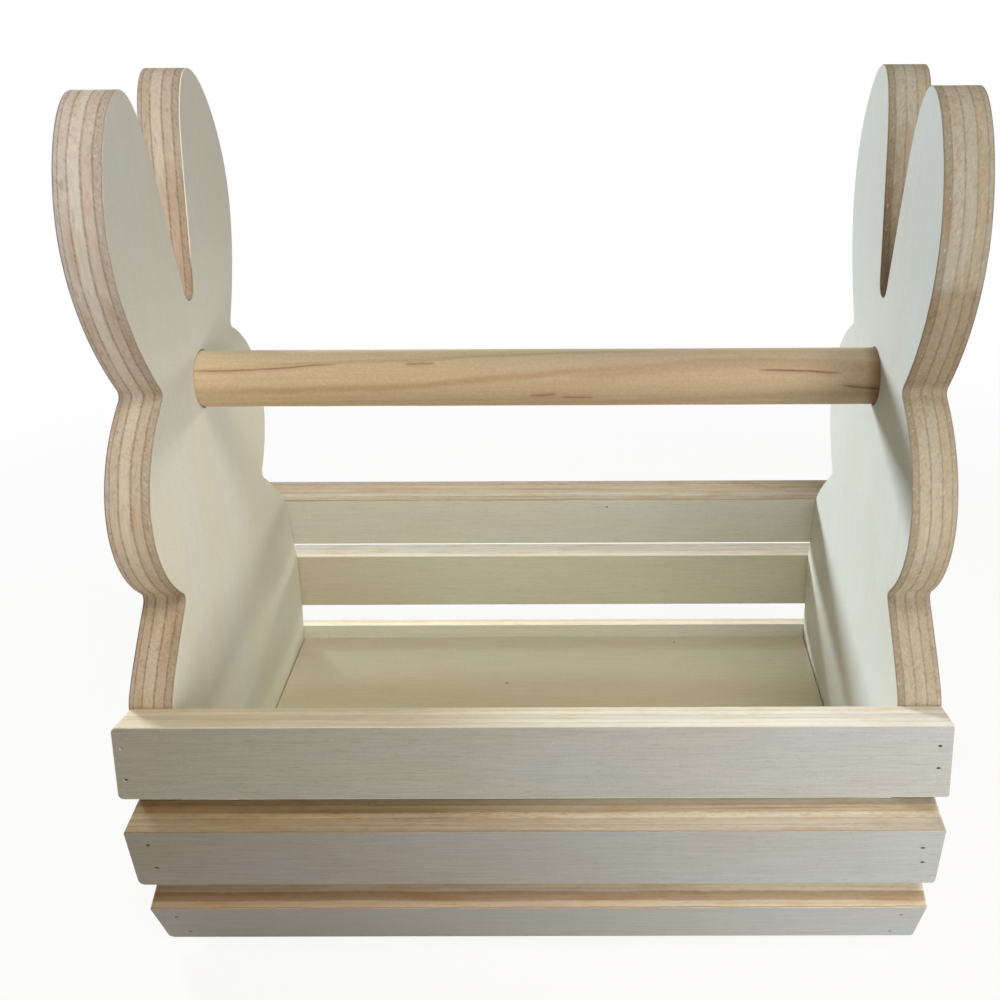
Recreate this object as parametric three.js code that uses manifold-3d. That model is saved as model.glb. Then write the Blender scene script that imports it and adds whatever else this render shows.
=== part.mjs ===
// Wooden caddy: two plywood end panels cut to a rabbit's outline, a round handle rail between
// them, three plywood slats nailed along each long side and a floor board between the panels.
// Millimetres. X runs along the handle, Y across it and +Z up. The origin is the middle of the
// footprint. Half a turn about Z maps the caddy onto itself, so it is built as two equal halves.
import * as THREE from 'three';
import { mergeVertices } from 'three/addons/utils/BufferGeometryUtils.js';
import Module from 'manifold-3d';

const wasm = await Module();
wasm.setup();

// Overall length, sheet thicknesses and the film of glue between two pieces
const LENGTH = 266;
const PANEL_THICKNESS = 14.5;
const SLAT_THICKNESS = 14.5;
const SLAT_WIDTH = 25;
const FLOOR_THICKNESS = 14.5;
const FLOOR_TOP = 25;
const GLUE_LINE = 0.3;
const ARRIS = 0.5;

// Side slats: half widths and heights of the seats that they are nailed to, at mid slat, and how
// far each slat's outer face turns downwards, in degrees
const BODY_HALF = 81.7;
const TOP_SEAT_INSET = 3.1;
const BOTTOM_SEAT_INSET = 7.9;
const TOP_SEAT_HEIGHT = 85.2;
const MIDDLE_SEAT_HEIGHT = 52.9;
const BOTTOM_SEAT_HEIGHT = 19;
const TOP_LEAN = -11.5;
const MIDDLE_LEAN = 5.5;
const BOTTOM_LEAN = 21.8;

// End panel: half widths and heights of its foot, neck, head and ears
const FOOT_HALF = 60;
const SHOULDER_RISE = 4.8;
const NECK_HEIGHT = 123.5;
const NECK_HALF = 48.3;
const NECK_FILLET = 4;
const HEAD_HEIGHT = 68;
const HEAD_HALF = 65.2;
const EAR_ROOT_HALF = 37;
const EAR_ROOT_FILLET = 3;
const EAR_HEIGHT = 92.8;
const EAR_HALF = 57.8;
const EAR_CHEEK_HEIGHT = 27.5;
const EAR_WIDEST_HEIGHT = 50.5;
const EAR_TIP_HALF = 31;
const EAR_TIP_ROUNDING = 29;
const NOTCH_DEPTH = 72;
const NOTCH_MOUTH_HALF = 19.5;
const NOTCH_FLOOR_HALF = 4;
const NOTCH_FILLET = 5;

// Fullness of a bend towards its corner: two thirds is a parabola, and less cuts it shorter
const SOFT_BEND = 2 / 3;
const TIP_BEND = 0.47;
const BEND_STEPS = 9;

// Handle rail, let into a blind socket in each panel
const HANDLE_RADIUS = 10;
const HANDLE_DROP = 7.8;
const HANDLE_CHAMFER = 0.8;
const HANDLE_SIDES = 48;
const SOCKET_DEPTH = 8;

// Brads: flat wire with a narrow head and a chisel point, driven just under the surface. Those of
// a slat are marked at a distance from its ends and from its middle line, and stray from the marks.
const BRAD_LENGTH = 30;
const BRAD_WIDTH = 1.2;
const BRAD_THICKNESS = 1;
const BRAD_HEAD_WIDTH = 1.7;
const BRAD_HEAD_DEPTH = 0.8;
const BRAD_POINT = 2;
const BRAD_SINK = 0.5;
const BRAD_CLEARANCE = 0.15;
const BRAD_INSET = 6;
const BRAD_RISE = 5.3;
const BRAD_STRAY = 1;
const FLOOR_BRAD_PITCH = 45;

// Heights and reaches that follow from these
const earRootHeight = NECK_HEIGHT + HEAD_HEIGHT;
const tipHeight = earRootHeight + EAR_HEIGHT;
const handleHeight = earRootHeight - HANDLE_DROP;
const panelInside = LENGTH / 2 - PANEL_THICKNESS;
const floorUnderside = FLOOR_TOP - FLOOR_THICKNESS;

// Slats of one half, from the top down. Strays are how many times BRAD_STRAY each brad misses its
// mark, [inwards, upwards], upper before lower, at the near end (+X) and then at the far end.
const SLATS = [
  {
    name: 'top',
    seat: [BODY_HALF - TOP_SEAT_INSET, TOP_SEAT_HEIGHT],
    lean: TOP_LEAN,
    strays: [[-3.4, 0.2], [-3.1, -0.3], [-1.4, 0.1], [-1.4, 3]],
  },
  {
    name: 'middle',
    seat: [BODY_HALF, MIDDLE_SEAT_HEIGHT],
    lean: MIDDLE_LEAN,
    strays: [[0.6, 1.4], [1.3, 1.2], [0.8, -0.8], [0, 3]],
  },
  {
    name: 'bottom',
    seat: [BODY_HALF - BOTTOM_SEAT_INSET, BOTTOM_SEAT_HEIGHT],
    lean: BOTTOM_LEAN,
    strays: [[1, 0.2], [2.5, -1.7], [2, 0.6], [3.3, -3.2]],
  },
];

// Directions and turns
const AXIS_X = new THREE.Vector3(1, 0, 0);
const AXIS_Y = new THREE.Vector3(0, 1, 0);
const AXIS_Z = new THREE.Vector3(0, 0, 1);
const IN_PLACE = new THREE.Matrix4();
const HALF_TURN = new THREE.Matrix4().makeRotationZ(Math.PI);
const OUTLINE_ACROSS = new THREE.Matrix4().makeBasis(AXIS_Y, AXIS_Z, AXIS_X);

// Materials
function wood(color, roughness) {
  return new THREE.MeshStandardMaterial({ color, roughness, metalness: 0 });
}

const panelWood = wood(0xcdc9b4, 0.75);
const slatWood = wood(0xc9c5b2, 0.75);
const floorWood = wood(0xbfb896, 0.78);
const handleWood = wood(0xd2b283, 0.62);
const bradSteel = new THREE.MeshStandardMaterial({ color: 0x6f6a62, roughness: 0.45, metalness: 0.9 });

// Solids and cuts
function toSolid(geometry) {
  const bare = geometry.clone();
  bare.deleteAttribute('normal');
  bare.deleteAttribute('uv');
  const welded = mergeVertices(bare);
  return new wasm.Manifold(new wasm.Mesh({
    numProp: 3,
    vertProperties: welded.attributes.position.array,
    triVerts: Uint32Array.from(welded.index.array),
  }));
}

function cut(geometry, cutters) {
  let body = toSolid(geometry);
  for (const cutter of cutters) {
    body = body.subtract(toSolid(cutter));
  }
  const mesh = body.getMesh();
  const result = new THREE.BufferGeometry();
  result.setAttribute('position', new THREE.BufferAttribute(mesh.vertProperties, 3));
  result.setIndex(new THREE.BufferAttribute(mesh.triVerts, 1));
  result.computeVertexNormals();
  return result;
}

function shapeOf(corners) {
  return new THREE.Shape(corners.map(([x, y]) => new THREE.Vector2(x, y)));
}

// An outline drawn across the caddy and run along X, centred on X, with eased rims
function board(outline, run) {
  const geometry = new THREE.ExtrudeGeometry(outline, {
    depth: run - 2 * ARRIS,
    bevelThickness: ARRIS,
    bevelSize: ARRIS,
    bevelOffset: -ARRIS,
    bevelSegments: 1,
  });
  geometry.translate(0, 0, ARRIS - run / 2);
  return geometry.applyMatrix4(OUTLINE_ACROSS);
}

// Brads, with the head's top at the origin and the wire running down -Y
function bradBody(slack, headTop) {
  const head = BRAD_HEAD_WIDTH / 2 + slack;
  const wire = BRAD_WIDTH / 2 + slack;
  const neck = -BRAD_HEAD_DEPTH - slack;
  const right = [[head, headTop], [head, neck], [wire, neck], [wire, BRAD_POINT - BRAD_LENGTH]];
  const left = right.map(([x, y]) => [-x, y]).reverse();
  const outline = shapeOf([...right, [0, -BRAD_LENGTH - slack], ...left]);
  const depth = BRAD_THICKNESS + 2 * slack;
  const geometry = new THREE.ExtrudeGeometry(outline, { depth, bevelEnabled: false });
  return geometry.translate(0, 0, -depth / 2);
}

const bradGeometry = bradBody(0, 0);
const bradHole = bradBody(BRAD_CLEARANCE, 2 * BRAD_SINK);

function bored(geometry, bradPlaces, otherCutters = []) {
  const holes = bradPlaces.map((place) => bradHole.clone().applyMatrix4(place));
  return cut(geometry, [...otherCutters, ...holes]);
}

function bothEnds(places) {
  return places.flatMap((place) => [place, HALF_TURN.clone().multiply(place)]);
}

// A brad's frame: its head at the point, its head's width along one direction, driven from another
function bradPlace(point, widthwise, outwards) {
  const sideways = new THREE.Vector3().crossVectors(widthwise, outwards);
  return new THREE.Matrix4().makeBasis(widthwise, outwards, sideways).setPosition(point);
}

function endBradPlace(across, height) {
  return bradPlace(new THREE.Vector3(LENGTH / 2 - BRAD_SINK, across, height), AXIS_Y, AXIS_X);
}

const floorBrads = [-1, 0, 1].map((step) => (
  endBradPlace(step * FLOOR_BRAD_PITCH, (FLOOR_TOP + floorUnderside) / 2)
));
const handleBrad = endBradPlace(0, handleHeight);

// Slats on the +Y side: outwards leaves the wood square to the face, upwards runs up the width
function leaning(slat) {
  const lean = THREE.MathUtils.degToRad(slat.lean);
  return {
    lean,
    seat: new THREE.Vector3(0, ...slat.seat),
    outwards: new THREE.Vector3(0, Math.cos(lean), -Math.sin(lean)),
    upwards: new THREE.Vector3(0, Math.sin(lean), Math.cos(lean)),
  };
}

function seatEnd(slat, direction) {
  const { seat, upwards } = leaning(slat);
  const end = seat.addScaledVector(upwards, direction * SLAT_WIDTH / 2);
  return new THREE.Vector2(end.y, end.z);
}

// The brads of a slat: which end, which level and where
function slatBrads(slat) {
  const headHeight = GLUE_LINE + SLAT_THICKNESS - BRAD_SINK;
  return slat.strays.map(([inwards, upwardsStray], index) => {
    const { seat, outwards, upwards } = leaning(slat);
    const near = index < 2;
    const upper = index % 2 === 0;
    const rise = (upper ? BRAD_RISE : -BRAD_RISE) + upwardsStray * BRAD_STRAY;
    const point = seat.addScaledVector(outwards, headHeight).addScaledVector(upwards, rise);
    point.x = (near ? 1 : -1) * (LENGTH / 2 - BRAD_INSET - inwards * BRAD_STRAY);
    return { near, level: upper ? 'upper' : 'lower', place: bradPlace(point, AXIS_X, outwards) };
  });
}

function slatGeometry(slat) {
  const { lean, seat, outwards } = leaning(slat);
  const [x, y] = [SLAT_THICKNESS / 2, SLAT_WIDTH / 2];
  const [a, b] = [x - ARRIS, y - ARRIS];
  const outline = shapeOf([[a, -y], [x, -b], [x, b], [a, y], [-a, y], [-x, b], [-x, -b], [-a, -y]]);
  const middle = seat.addScaledVector(outwards, GLUE_LINE + x);
  const bar = board(outline, LENGTH).rotateX(-lean).translate(middle.x, middle.y, middle.z);
  return bored(bar, slatBrads(slat).map((brad) => brad.place));
}

// Half outline of the end panel, from the middle of its foot up to the bottom of the ear notch
function bend(path, corner, end, fullness) {
  const first = path.currentPoint.clone().lerp(corner, fullness);
  const second = end.clone().lerp(corner, fullness);
  path.bezierCurveTo(first.x, first.y, second.x, second.y, end.x, end.y);
}

function towards(from, to, distance) {
  return from.clone().add(to.clone().sub(from).setLength(distance));
}

// The head is the ellipse through neck and ear root, cut short at both ends for their fillets
function headEllipse() {
  const neckAngle = -Math.acos(NECK_HALF / HEAD_HALF);
  const rootAngle = Math.acos(EAR_ROOT_HALF / HEAD_HALF);
  const halfHeight = HEAD_HEIGHT / (Math.sin(rootAngle) - Math.sin(neckAngle));
  const middle = NECK_HEIGHT - halfHeight * Math.sin(neckAngle);
  const arcPerAngle = (angle) => Math.hypot(HEAD_HALF * Math.sin(angle), halfHeight * Math.cos(angle));
  const start = neckAngle + NECK_FILLET / arcPerAngle(neckAngle);
  const end = rootAngle - EAR_ROOT_FILLET / arcPerAngle(rootAngle);
  const from = new THREE.Vector2(HEAD_HALF * Math.cos(start), middle + halfHeight * Math.sin(start));
  return { middle, halfHeight, start, end, from };
}

function drawSeats(path) {
  path.moveTo(FOOT_HALF, 0);
  for (const slat of [...SLATS].reverse()) {
    for (const direction of [-1, 1]) {
      const end = seatEnd(slat, direction);
      path.lineTo(end.x, end.y);
    }
  }
}

function drawHead(path) {
  const topSeat = seatEnd(SLATS[0], 1);
  const shoulder = towards(topSeat, seatEnd(SLATS[0], -1), -SHOULDER_RISE);
  const neck = new THREE.Vector2(NECK_HALF, NECK_HEIGHT);
  const head = headEllipse();
  bend(path, shoulder, towards(neck, shoulder, NECK_FILLET), SOFT_BEND);
  bend(path, neck, head.from, SOFT_BEND);
  path.absellipse(0, head.middle, HEAD_HALF, head.halfHeight, head.start, head.end, false);
}

// Out along the cheek of the ear, over its tip and down into the notch
function drawEar(path) {
  const root = new THREE.Vector2(EAR_ROOT_HALF, earRootHeight);
  const cheek = new THREE.Vector2(EAR_HALF, earRootHeight + EAR_CHEEK_HEIGHT);
  const widest = new THREE.Vector2(EAR_HALF, earRootHeight + EAR_WIDEST_HEIGHT);
  const outerCorner = new THREE.Vector2(EAR_HALF, tipHeight);
  const tip = new THREE.Vector2(EAR_TIP_HALF, tipHeight);
  const mouth = new THREE.Vector2(NOTCH_MOUTH_HALF, tipHeight);
  const notchCorner = new THREE.Vector2(NOTCH_FLOOR_HALF, tipHeight - NOTCH_DEPTH);
  const notchSide = towards(notchCorner, mouth, NOTCH_FILLET);
  bend(path, root, towards(root, cheek, EAR_ROOT_FILLET), SOFT_BEND);
  bend(path, cheek, widest, SOFT_BEND);
  bend(path, outerCorner, tip, TIP_BEND);
  bend(path, mouth, towards(mouth, notchCorner, EAR_TIP_ROUNDING), SOFT_BEND);
  path.lineTo(notchSide.x, notchSide.y);
  bend(path, notchCorner, new THREE.Vector2(0, notchCorner.y), SOFT_BEND);
}

function panelOutline() {
  const path = new THREE.Path();
  drawSeats(path);
  drawHead(path);
  drawEar(path);
  const right = path.getPoints(BEND_STEPS);
  const left = right.slice(0, -1).reverse().map((point) => new THREE.Vector2(-point.x, point.y));
  return new THREE.Shape([...right, ...left]);
}

// Handle rail and, with slack added, the cutter for its sockets
function handleBody(slack) {
  const radius = HANDLE_RADIUS + slack;
  const reach = panelInside + SOCKET_DEPTH - GLUE_LINE + slack;
  const profile = [
    [0, -reach],
    [radius - HANDLE_CHAMFER, -reach],
    [radius, HANDLE_CHAMFER - reach],
    [radius, reach - HANDLE_CHAMFER],
    [radius - HANDLE_CHAMFER, reach],
    [0, reach],
  ];
  const points = profile.map(([x, y]) => new THREE.Vector2(x, y));
  const geometry = new THREE.LatheGeometry(points, HANDLE_SIDES);
  return geometry.rotateZ(-Math.PI / 2).translate(0, 0, handleHeight);
}

function panelGeometry(bradPlaces) {
  const sheet = board(panelOutline(), PANEL_THICKNESS);
  sheet.translate(panelInside + PANEL_THICKNESS / 2, 0, 0);
  return bored(sheet, bradPlaces, [handleBody(GLUE_LINE)]);
}

// Floor board, its long edges bevelled to lie against the bottom slats
function floorGeometry() {
  const { lean, seat } = leaning(SLATS[SLATS.length - 1]);
  const edge = (height) => seat.y + (height - seat.z) * Math.tan(lean);
  const right = [[edge(floorUnderside), floorUnderside], [edge(FLOOR_TOP), FLOOR_TOP]];
  const left = right.map(([x, y]) => [-x, y]).reverse();
  const sheet = board(shapeOf([...right, ...left]), 2 * (panelInside - GLUE_LINE));
  return bored(sheet, bothEnds(floorBrads));
}

function piece(name, geometry, material, place = IN_PLACE) {
  const mesh = new THREE.Mesh(geometry, material);
  mesh.name = name;
  mesh.applyMatrix4(place);
  return mesh;
}

// One half: the slats at +Y, the end panel at +X and the brads that are driven into that panel's
// end. Names.ends says what the ends at -X and +X are called once the half has been turned.
function half(names, turn) {
  const group = new THREE.Group();
  const [farEnd, nearEnd] = names.ends;
  const intoPanel = [...floorBrads, handleBrad];
  const add = (name, geometry, material, place) => {
    group.add(piece(name, geometry, material, turn.clone().multiply(place)));
  };
  for (const slat of SLATS) {
    const slatName = `${names.side}_slat_${slat.name}`;
    add(slatName, slatGeometry(slat), slatWood, IN_PLACE);
    for (const { near, level, place } of slatBrads(slat)) {
      add(`${slatName}_brad_${near ? nearEnd : farEnd}_${level}`, bradGeometry, bradSteel, place);
      intoPanel.push(near ? place : HALF_TURN.clone().multiply(place));
    }
  }
  floorBrads.forEach((place, index) => {
    add(`floor_brad_${nearEnd}_${names.across[index]}`, bradGeometry, bradSteel, place);
  });
  add(`handle_brad_${nearEnd}`, bradGeometry, bradSteel, handleBrad);
  add(`end_panel_${nearEnd}`, panelGeometry(intoPanel), panelWood, IN_PLACE);
  return group;
}

const rearNames = { side: 'rear', ends: ['left', 'right'], across: ['front', 'middle', 'rear'] };
const frontNames = { side: 'front', ends: ['right', 'left'], across: ['rear', 'middle', 'front'] };

const caddy = new THREE.Group();
caddy.add(half(rearNames, IN_PLACE));
caddy.add(half(frontNames, HALF_TURN));
caddy.add(piece('handle_dowel', bored(handleBody(0), bothEnds([handleBrad])), handleWood));
caddy.add(piece('floor_board', floorGeometry(), floorWood));

export default caddy;
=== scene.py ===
"""Wooden caddy with rabbit-shaped end panels, dressed in bare plywood and pine.

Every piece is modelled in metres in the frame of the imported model. X runs along the handle, Y across the
caddy and +Z up. The plywood pieces and the handle rail stand for their CAD nodes, and the brads keep
theirs. Materials measure the wood in millimetres along its grain, across it and through its thickness.
"""

import logging
import math
from collections.abc import Iterable, Sequence
from dataclasses import dataclass, field, replace
from enum import Enum
from itertools import accumulate

import bmesh
import bpy
from mathutils import Matrix, Vector, noise
from mathutils.geometry import interpolate_bezier


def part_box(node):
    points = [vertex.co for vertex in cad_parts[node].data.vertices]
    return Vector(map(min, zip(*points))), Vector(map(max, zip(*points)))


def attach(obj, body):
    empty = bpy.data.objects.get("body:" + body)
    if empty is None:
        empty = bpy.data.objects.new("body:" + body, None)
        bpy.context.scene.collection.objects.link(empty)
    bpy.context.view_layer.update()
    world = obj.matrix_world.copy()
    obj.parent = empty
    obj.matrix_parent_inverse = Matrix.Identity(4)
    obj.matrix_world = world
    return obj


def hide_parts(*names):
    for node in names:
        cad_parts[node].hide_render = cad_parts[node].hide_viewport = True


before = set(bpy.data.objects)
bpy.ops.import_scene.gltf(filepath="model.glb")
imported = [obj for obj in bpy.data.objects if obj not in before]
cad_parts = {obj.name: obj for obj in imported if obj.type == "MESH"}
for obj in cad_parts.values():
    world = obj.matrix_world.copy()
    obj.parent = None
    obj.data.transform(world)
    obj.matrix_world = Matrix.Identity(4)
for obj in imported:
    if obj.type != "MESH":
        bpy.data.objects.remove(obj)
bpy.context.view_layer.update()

log = logging.getLogger("caddy")

BMesh = bmesh.types.BMesh
BMEdge = bmesh.types.BMEdge
Material = bpy.types.Material
Socket = bpy.types.NodeSocket
Value = Socket | float
Colour = tuple[float, float, float]
Reach = tuple[float, float]
Inputs = dict[int | str, object]

BODY = "root"
MM = 0.001
PER_MM = 1000.0
SHEET_THICKNESS = 14.5 * MM
FULL_TURN = 360.0
AXIS_X = Vector((1.0, 0.0, 0.0))
AXIS_Y = Vector((0.0, 1.0, 0.0))
AXIS_Z = Vector((0.0, 0.0, 1.0))
Z_TO_X = Matrix.Rotation(math.pi / 2, 4, "Y")
HALF_TURN = Matrix.Rotation(math.pi, 4, "Z")
WHITE: Colour = (1.0, 1.0, 1.0)


class Side(Enum):
    """Long side of the caddy that a slat is nailed to."""

    FRONT = "front"
    REAR = "rear"

    @property
    def turn(self) -> Matrix:
        """Turn that brings a slat of the rear side to this side."""
        return HALF_TURN if self is Side.FRONT else Matrix.Identity(4)


class End(Enum):
    """End of the caddy, seen from the front."""

    LEFT = "left"
    RIGHT = "right"

    @property
    def outwards(self) -> Vector:
        """Direction out of the caddy at this end."""
        return -AXIS_X if self is End.LEFT else AXIS_X


class Level(Enum):
    """Height of a slat on its side."""

    TOP = "top"
    MIDDLE = "middle"
    BOTTOM = "bottom"


class Wood(Enum):
    """Tints of the woods that the plies are peeled from."""

    PALE = (0.96, 0.92, 0.82)
    IVORY = (0.88, 0.80, 0.67)
    CREAM = (0.80, 0.69, 0.53)
    GREY = (0.84, 0.80, 0.70)
    BLUSH = (0.73, 0.61, 0.475)
    FAWN = (0.715, 0.58, 0.44)
    HAZEL = (0.60, 0.49, 0.365)
    ROSE = (0.71, 0.605, 0.49)
    MAUVE = (0.67, 0.565, 0.48)
    STRAW = (0.515, 0.455, 0.355)
    TAN = (0.50, 0.42, 0.305)
    DRAB = (0.47, 0.41, 0.33)
    UMBER = (0.39, 0.335, 0.245)
    SAND = (0.60, 0.535, 0.45)
    BUFF = (0.84, 0.72, 0.55)
    ORANGE = (0.69, 0.53, 0.375)


@dataclass(frozen=True)
class Ply:
    """One layer of a sheet, as it shows on a cut edge.

    Attributes:
        wood: Tint of the wood.
        torn: How far the saw has torn its fibres, from 0 to 1.
        share: Its thickness as a share of the sheet's.
    """

    wood: Wood
    torn: float
    share: float = 0.2


Stack = tuple[Ply, ...]


def glue_lines(stack: Stack) -> list[float]:
    """Places of a stack's glue lines, as shares of the thickness from the first face."""
    return list(accumulate(ply.share for ply in stack))[:-1]


# Node trees


@dataclass(frozen=True)
class Ramp:
    """Smooth change of a result while a number goes from low to high.

    Attributes:
        low: Number at which the result is start.
        high: Number at which the result is end.
        start: Result at low.
        end: Result at high.
    """

    low: float
    high: float
    start: float = 0.0
    end: float = 1.0

    def about_one(self, contrast: float) -> "Ramp":
        """Ramp of factors about 1, from one whose results are shares lighter or darker."""
        return replace(self, start=1.0 + contrast * self.start, end=1.0 + contrast * self.end)


@dataclass(frozen=True)
class Grain:
    """Noise drawn out along the wood.

    Attributes:
        scale: Features in a unit of length along the grain, across it and through the thickness.
        detail: Number of finer layers.
        roughness: Strength of the finer layers.
        pattern: Number that keeps it apart from the other noises of a piece.
    """

    scale: tuple[float, float, float]
    detail: float
    roughness: float
    pattern: float = 0.0


class NodeBench:
    """Adds nodes to one tree and links them, so that a finish reads as a list of steps.

    Attributes:
        MIX_FIRST: Number of the first colour's input of a mix node.
        MIX_SECOND: Number of the second colour's input.
        MIX_RESULT: Number of the blended colour's output.
    """

    MIX_FIRST = 6
    MIX_SECOND = 7
    MIX_RESULT = 2

    def __init__(self, holder: Material | bpy.types.World) -> None:
        """Start an empty tree.

        Args:
            holder: Material or world that the tree belongs to.
        """
        holder.use_nodes = True
        self.holder = holder
        self.tree = holder.node_tree
        self.tree.nodes.clear()

    def add(self, kind: str, inputs: Inputs, **settings: object) -> bpy.types.Node:
        """Add a node and feed it.

        Args:
            kind: Blender's name of the node type, without ShaderNode.
            inputs: Sockets to link or plain values to set, by the number or name of the input.
            **settings: Attributes of the node, such as its operation.

        Returns:
            The new node.
        """
        node = self.tree.nodes.new(f"ShaderNode{kind}")
        for name, value in settings.items():
            setattr(node, name, value)
        for key, value in inputs.items():
            socket = node.inputs[key]
            if isinstance(value, Socket):
                self.tree.links.new(value, socket)
            else:
                socket.default_value = (*value, 1.0) if socket.type == "RGBA" else value
        return node

    def math(self, operation: str, first: Value, second: Value = 0.0, clamp: bool = False) -> Socket:
        """Work out one number from two by one of Blender's operations."""
        return self.add("Math", {0: first, 1: second}, operation=operation, use_clamp=clamp).outputs[0]

    def times(self, first: Value, second: Value) -> Socket:
        """Multiply two numbers."""
        return self.math("MULTIPLY", first, second)

    def plus(self, first: Value, second: Value) -> Socket:
        """Add two numbers."""
        return self.math("ADD", first, second)

    def minus(self, first: Value, second: Value) -> Socket:
        """Take the second number from the first."""
        return self.math("SUBTRACT", first, second)

    def most(self, first: Value, second: Value) -> Socket:
        """Take the larger of two numbers."""
        return self.math("MAXIMUM", first, second)

    def size(self, value: Value) -> Socket:
        """Leave out a number's sign."""
        return self.math("ABSOLUTE", value)

    def split(self, vector: Socket) -> tuple[Socket, ...]:
        """Take a vector apart into its three numbers."""
        return tuple(self.add("SeparateXYZ", {0: vector}).outputs)

    def ease(self, value: Value, ramp: Ramp) -> Socket:
        """Follow a ramp."""
        inputs = dict(enumerate((value, ramp.low, ramp.high, ramp.start, ramp.end)))
        return self.add("MapRange", inputs, interpolation_type="SMOOTHSTEP").outputs[0]

    def grain(self, place: Socket, grain: Grain, seed: float = 0.0) -> Socket:
        """Read a noise at a place.

        Args:
            place: Place in the wood's own frame.
            grain: The noise.
            seed: Number that picks one piece's pattern.

        Returns:
            The socket of a number about 0.5.
        """
        stretched = self.add("VectorMath", {0: place, 1: grain.scale}, operation="MULTIPLY").outputs[0]
        inputs = {"Vector": stretched, "W": seed + grain.pattern, "Scale": 1.0}
        inputs |= {"Detail": grain.detail, "Roughness": grain.roughness}
        return self.add("TexNoise", inputs, noise_dimensions="4D", normalize=True).outputs["Fac"]

    def mix(self, share: Value, first: object, second: object, blend: str = "MIX") -> Socket:
        """Blend two colours, with a share of the second from 0 to 1."""
        inputs = {0: share, self.MIX_FIRST: first, self.MIX_SECOND: second}
        return self.add("Mix", inputs, data_type="RGBA", blend_type=blend).outputs[self.MIX_RESULT]

    def tint(self, share: Value, colour: object, tint: object) -> Socket:
        """Multiply a colour by a tint, wholly where the share is 1."""
        return self.mix(share, colour, tint, "MULTIPLY")

    def shade(self, colour: Socket, amount: Value) -> Socket:
        """Multiply a colour by one number."""
        return self.add("VectorMath", {0: colour, "Scale": amount}, operation="SCALE").outputs[0]

    def vary(self, colour: Socket, value: Value, swing: Ramp, contrast: float = 1.0) -> Socket:
        """Lighten and darken a colour by the shares that a ramp gives."""
        return self.shade(colour, self.ease(value, swing.about_one(contrast)))

    def turned(self, vector: Socket, angle: float) -> Socket:
        """Turn a vector about its second axis, by an angle in radians."""
        inputs = {"Vector": vector, "Rotation": (0.0, angle, 0.0)}
        return self.add("Mapping", inputs, vector_type="POINT").outputs[0]

    def curve(self, value: Value, points: Sequence[tuple[float, float]]) -> Socket:
        """Read a smooth curve through points.

        Args:
            value: Number from 0 to 1.
            points: Points of the curve in order, with both numbers from 0 to 1.

        Returns:
            The socket of the curve's height.
        """
        node = self.add("FloatCurve", {"Value": value})
        line = node.mapping.curves[0]
        while len(line.points) < len(points):
            line.points.new(0.5, 0.5)
        for spot, place in zip(line.points, points):
            spot.location = place
        node.mapping.update()
        return node.outputs[0]

    def steps(self, value: Socket, stack: Stack, softness: float = 0.09) -> tuple[Socket, Socket]:
        """Pick one ply of a stack in equal steps.

        Args:
            value: Number from 0 to 1.
            stack: Plies in order.
            softness: Share of a ply that blends into the next one.

        Returns:
            Sockets of the ply's colour and of how far it is torn.
        """
        node = self.add("ValToRGB", {0: value})
        elements = node.color_ramp.elements
        sides = (softness, 1.0 - softness)
        stops = [(index + side, ply) for index, ply in enumerate(stack) for side in sides]
        while len(elements) < len(stops):
            elements.new(1.0)
        for element, (position, ply) in zip(elements, stops):
            element.position = position / len(stack)
            element.color = (*ply.wood.value, ply.torn)
        return node.outputs["Color"], node.outputs["Alpha"]

    def seen(self) -> Socket:
        """Tell rays that the picture, a mirror or glass sees from all others.

        Returns:
            A socket that is 1 for them and 0 for the others.
        """
        path = self.add("LightPath", {}).outputs
        mirrored = self.most(path["Is Camera Ray"], path["Is Glossy Ray"])
        return self.most(mirrored, path["Is Transmission Ray"])

    def finish(
        self, colour: Socket, roughness: Socket, height: Socket, relief: float, own: Inputs,
    ) -> Material:
        """Close a material's tree with its shader.

        Args:
            colour: Base colour.
            roughness: Roughness.
            height: Height of the surface, from 0 to 1.
            relief: Depth of the surface in metres.
            own: Plain values of the shader's own sockets.

        Returns:
            The finished material.
        """
        bump = self.add("Bump", {"Strength": 1.0, "Distance": relief, "Height": height}).outputs[0]
        inputs = {"Normal": bump, "Base Color": colour, "Roughness": roughness, **own}
        self.add("OutputMaterial", {"Surface": self.add("BsdfPrincipled", inputs).outputs[0]})
        return self.holder


# Where wood lies


@dataclass(frozen=True)
class Lay:
    """How a piece of wood lies in the caddy.

    Attributes:
        centre: Middle of the piece in metres.
        along: Direction of the face grain.
        through: Direction through the thickness.
    """

    centre: Vector
    along: Vector
    through: Vector

    def coordinates(self, bench: NodeBench) -> tuple[Socket, Socket]:
        """Place and surface direction in the wood's own frame.

        Args:
            bench: Bench of the material that reads them.

        Returns:
            Sockets of the place in millimetres (along, across, through) and of the direction.
        """
        source = bench.add("TexCoord", {}).outputs
        turn = Matrix((self.along, self.through.cross(self.along), self.through))
        turned = {"Rotation": turn.to_euler()}
        shift = -(turn @ self.centre) * PER_MM
        moved = {"Vector": source["Object"], "Location": shift, "Scale": (PER_MM, PER_MM, PER_MM)}
        place = bench.add("Mapping", turned | moved, vector_type="POINT")
        direction = bench.add("Mapping", turned | {"Vector": source["Normal"]}, vector_type="VECTOR")
        return place.outputs[0], direction.outputs[0]


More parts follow.
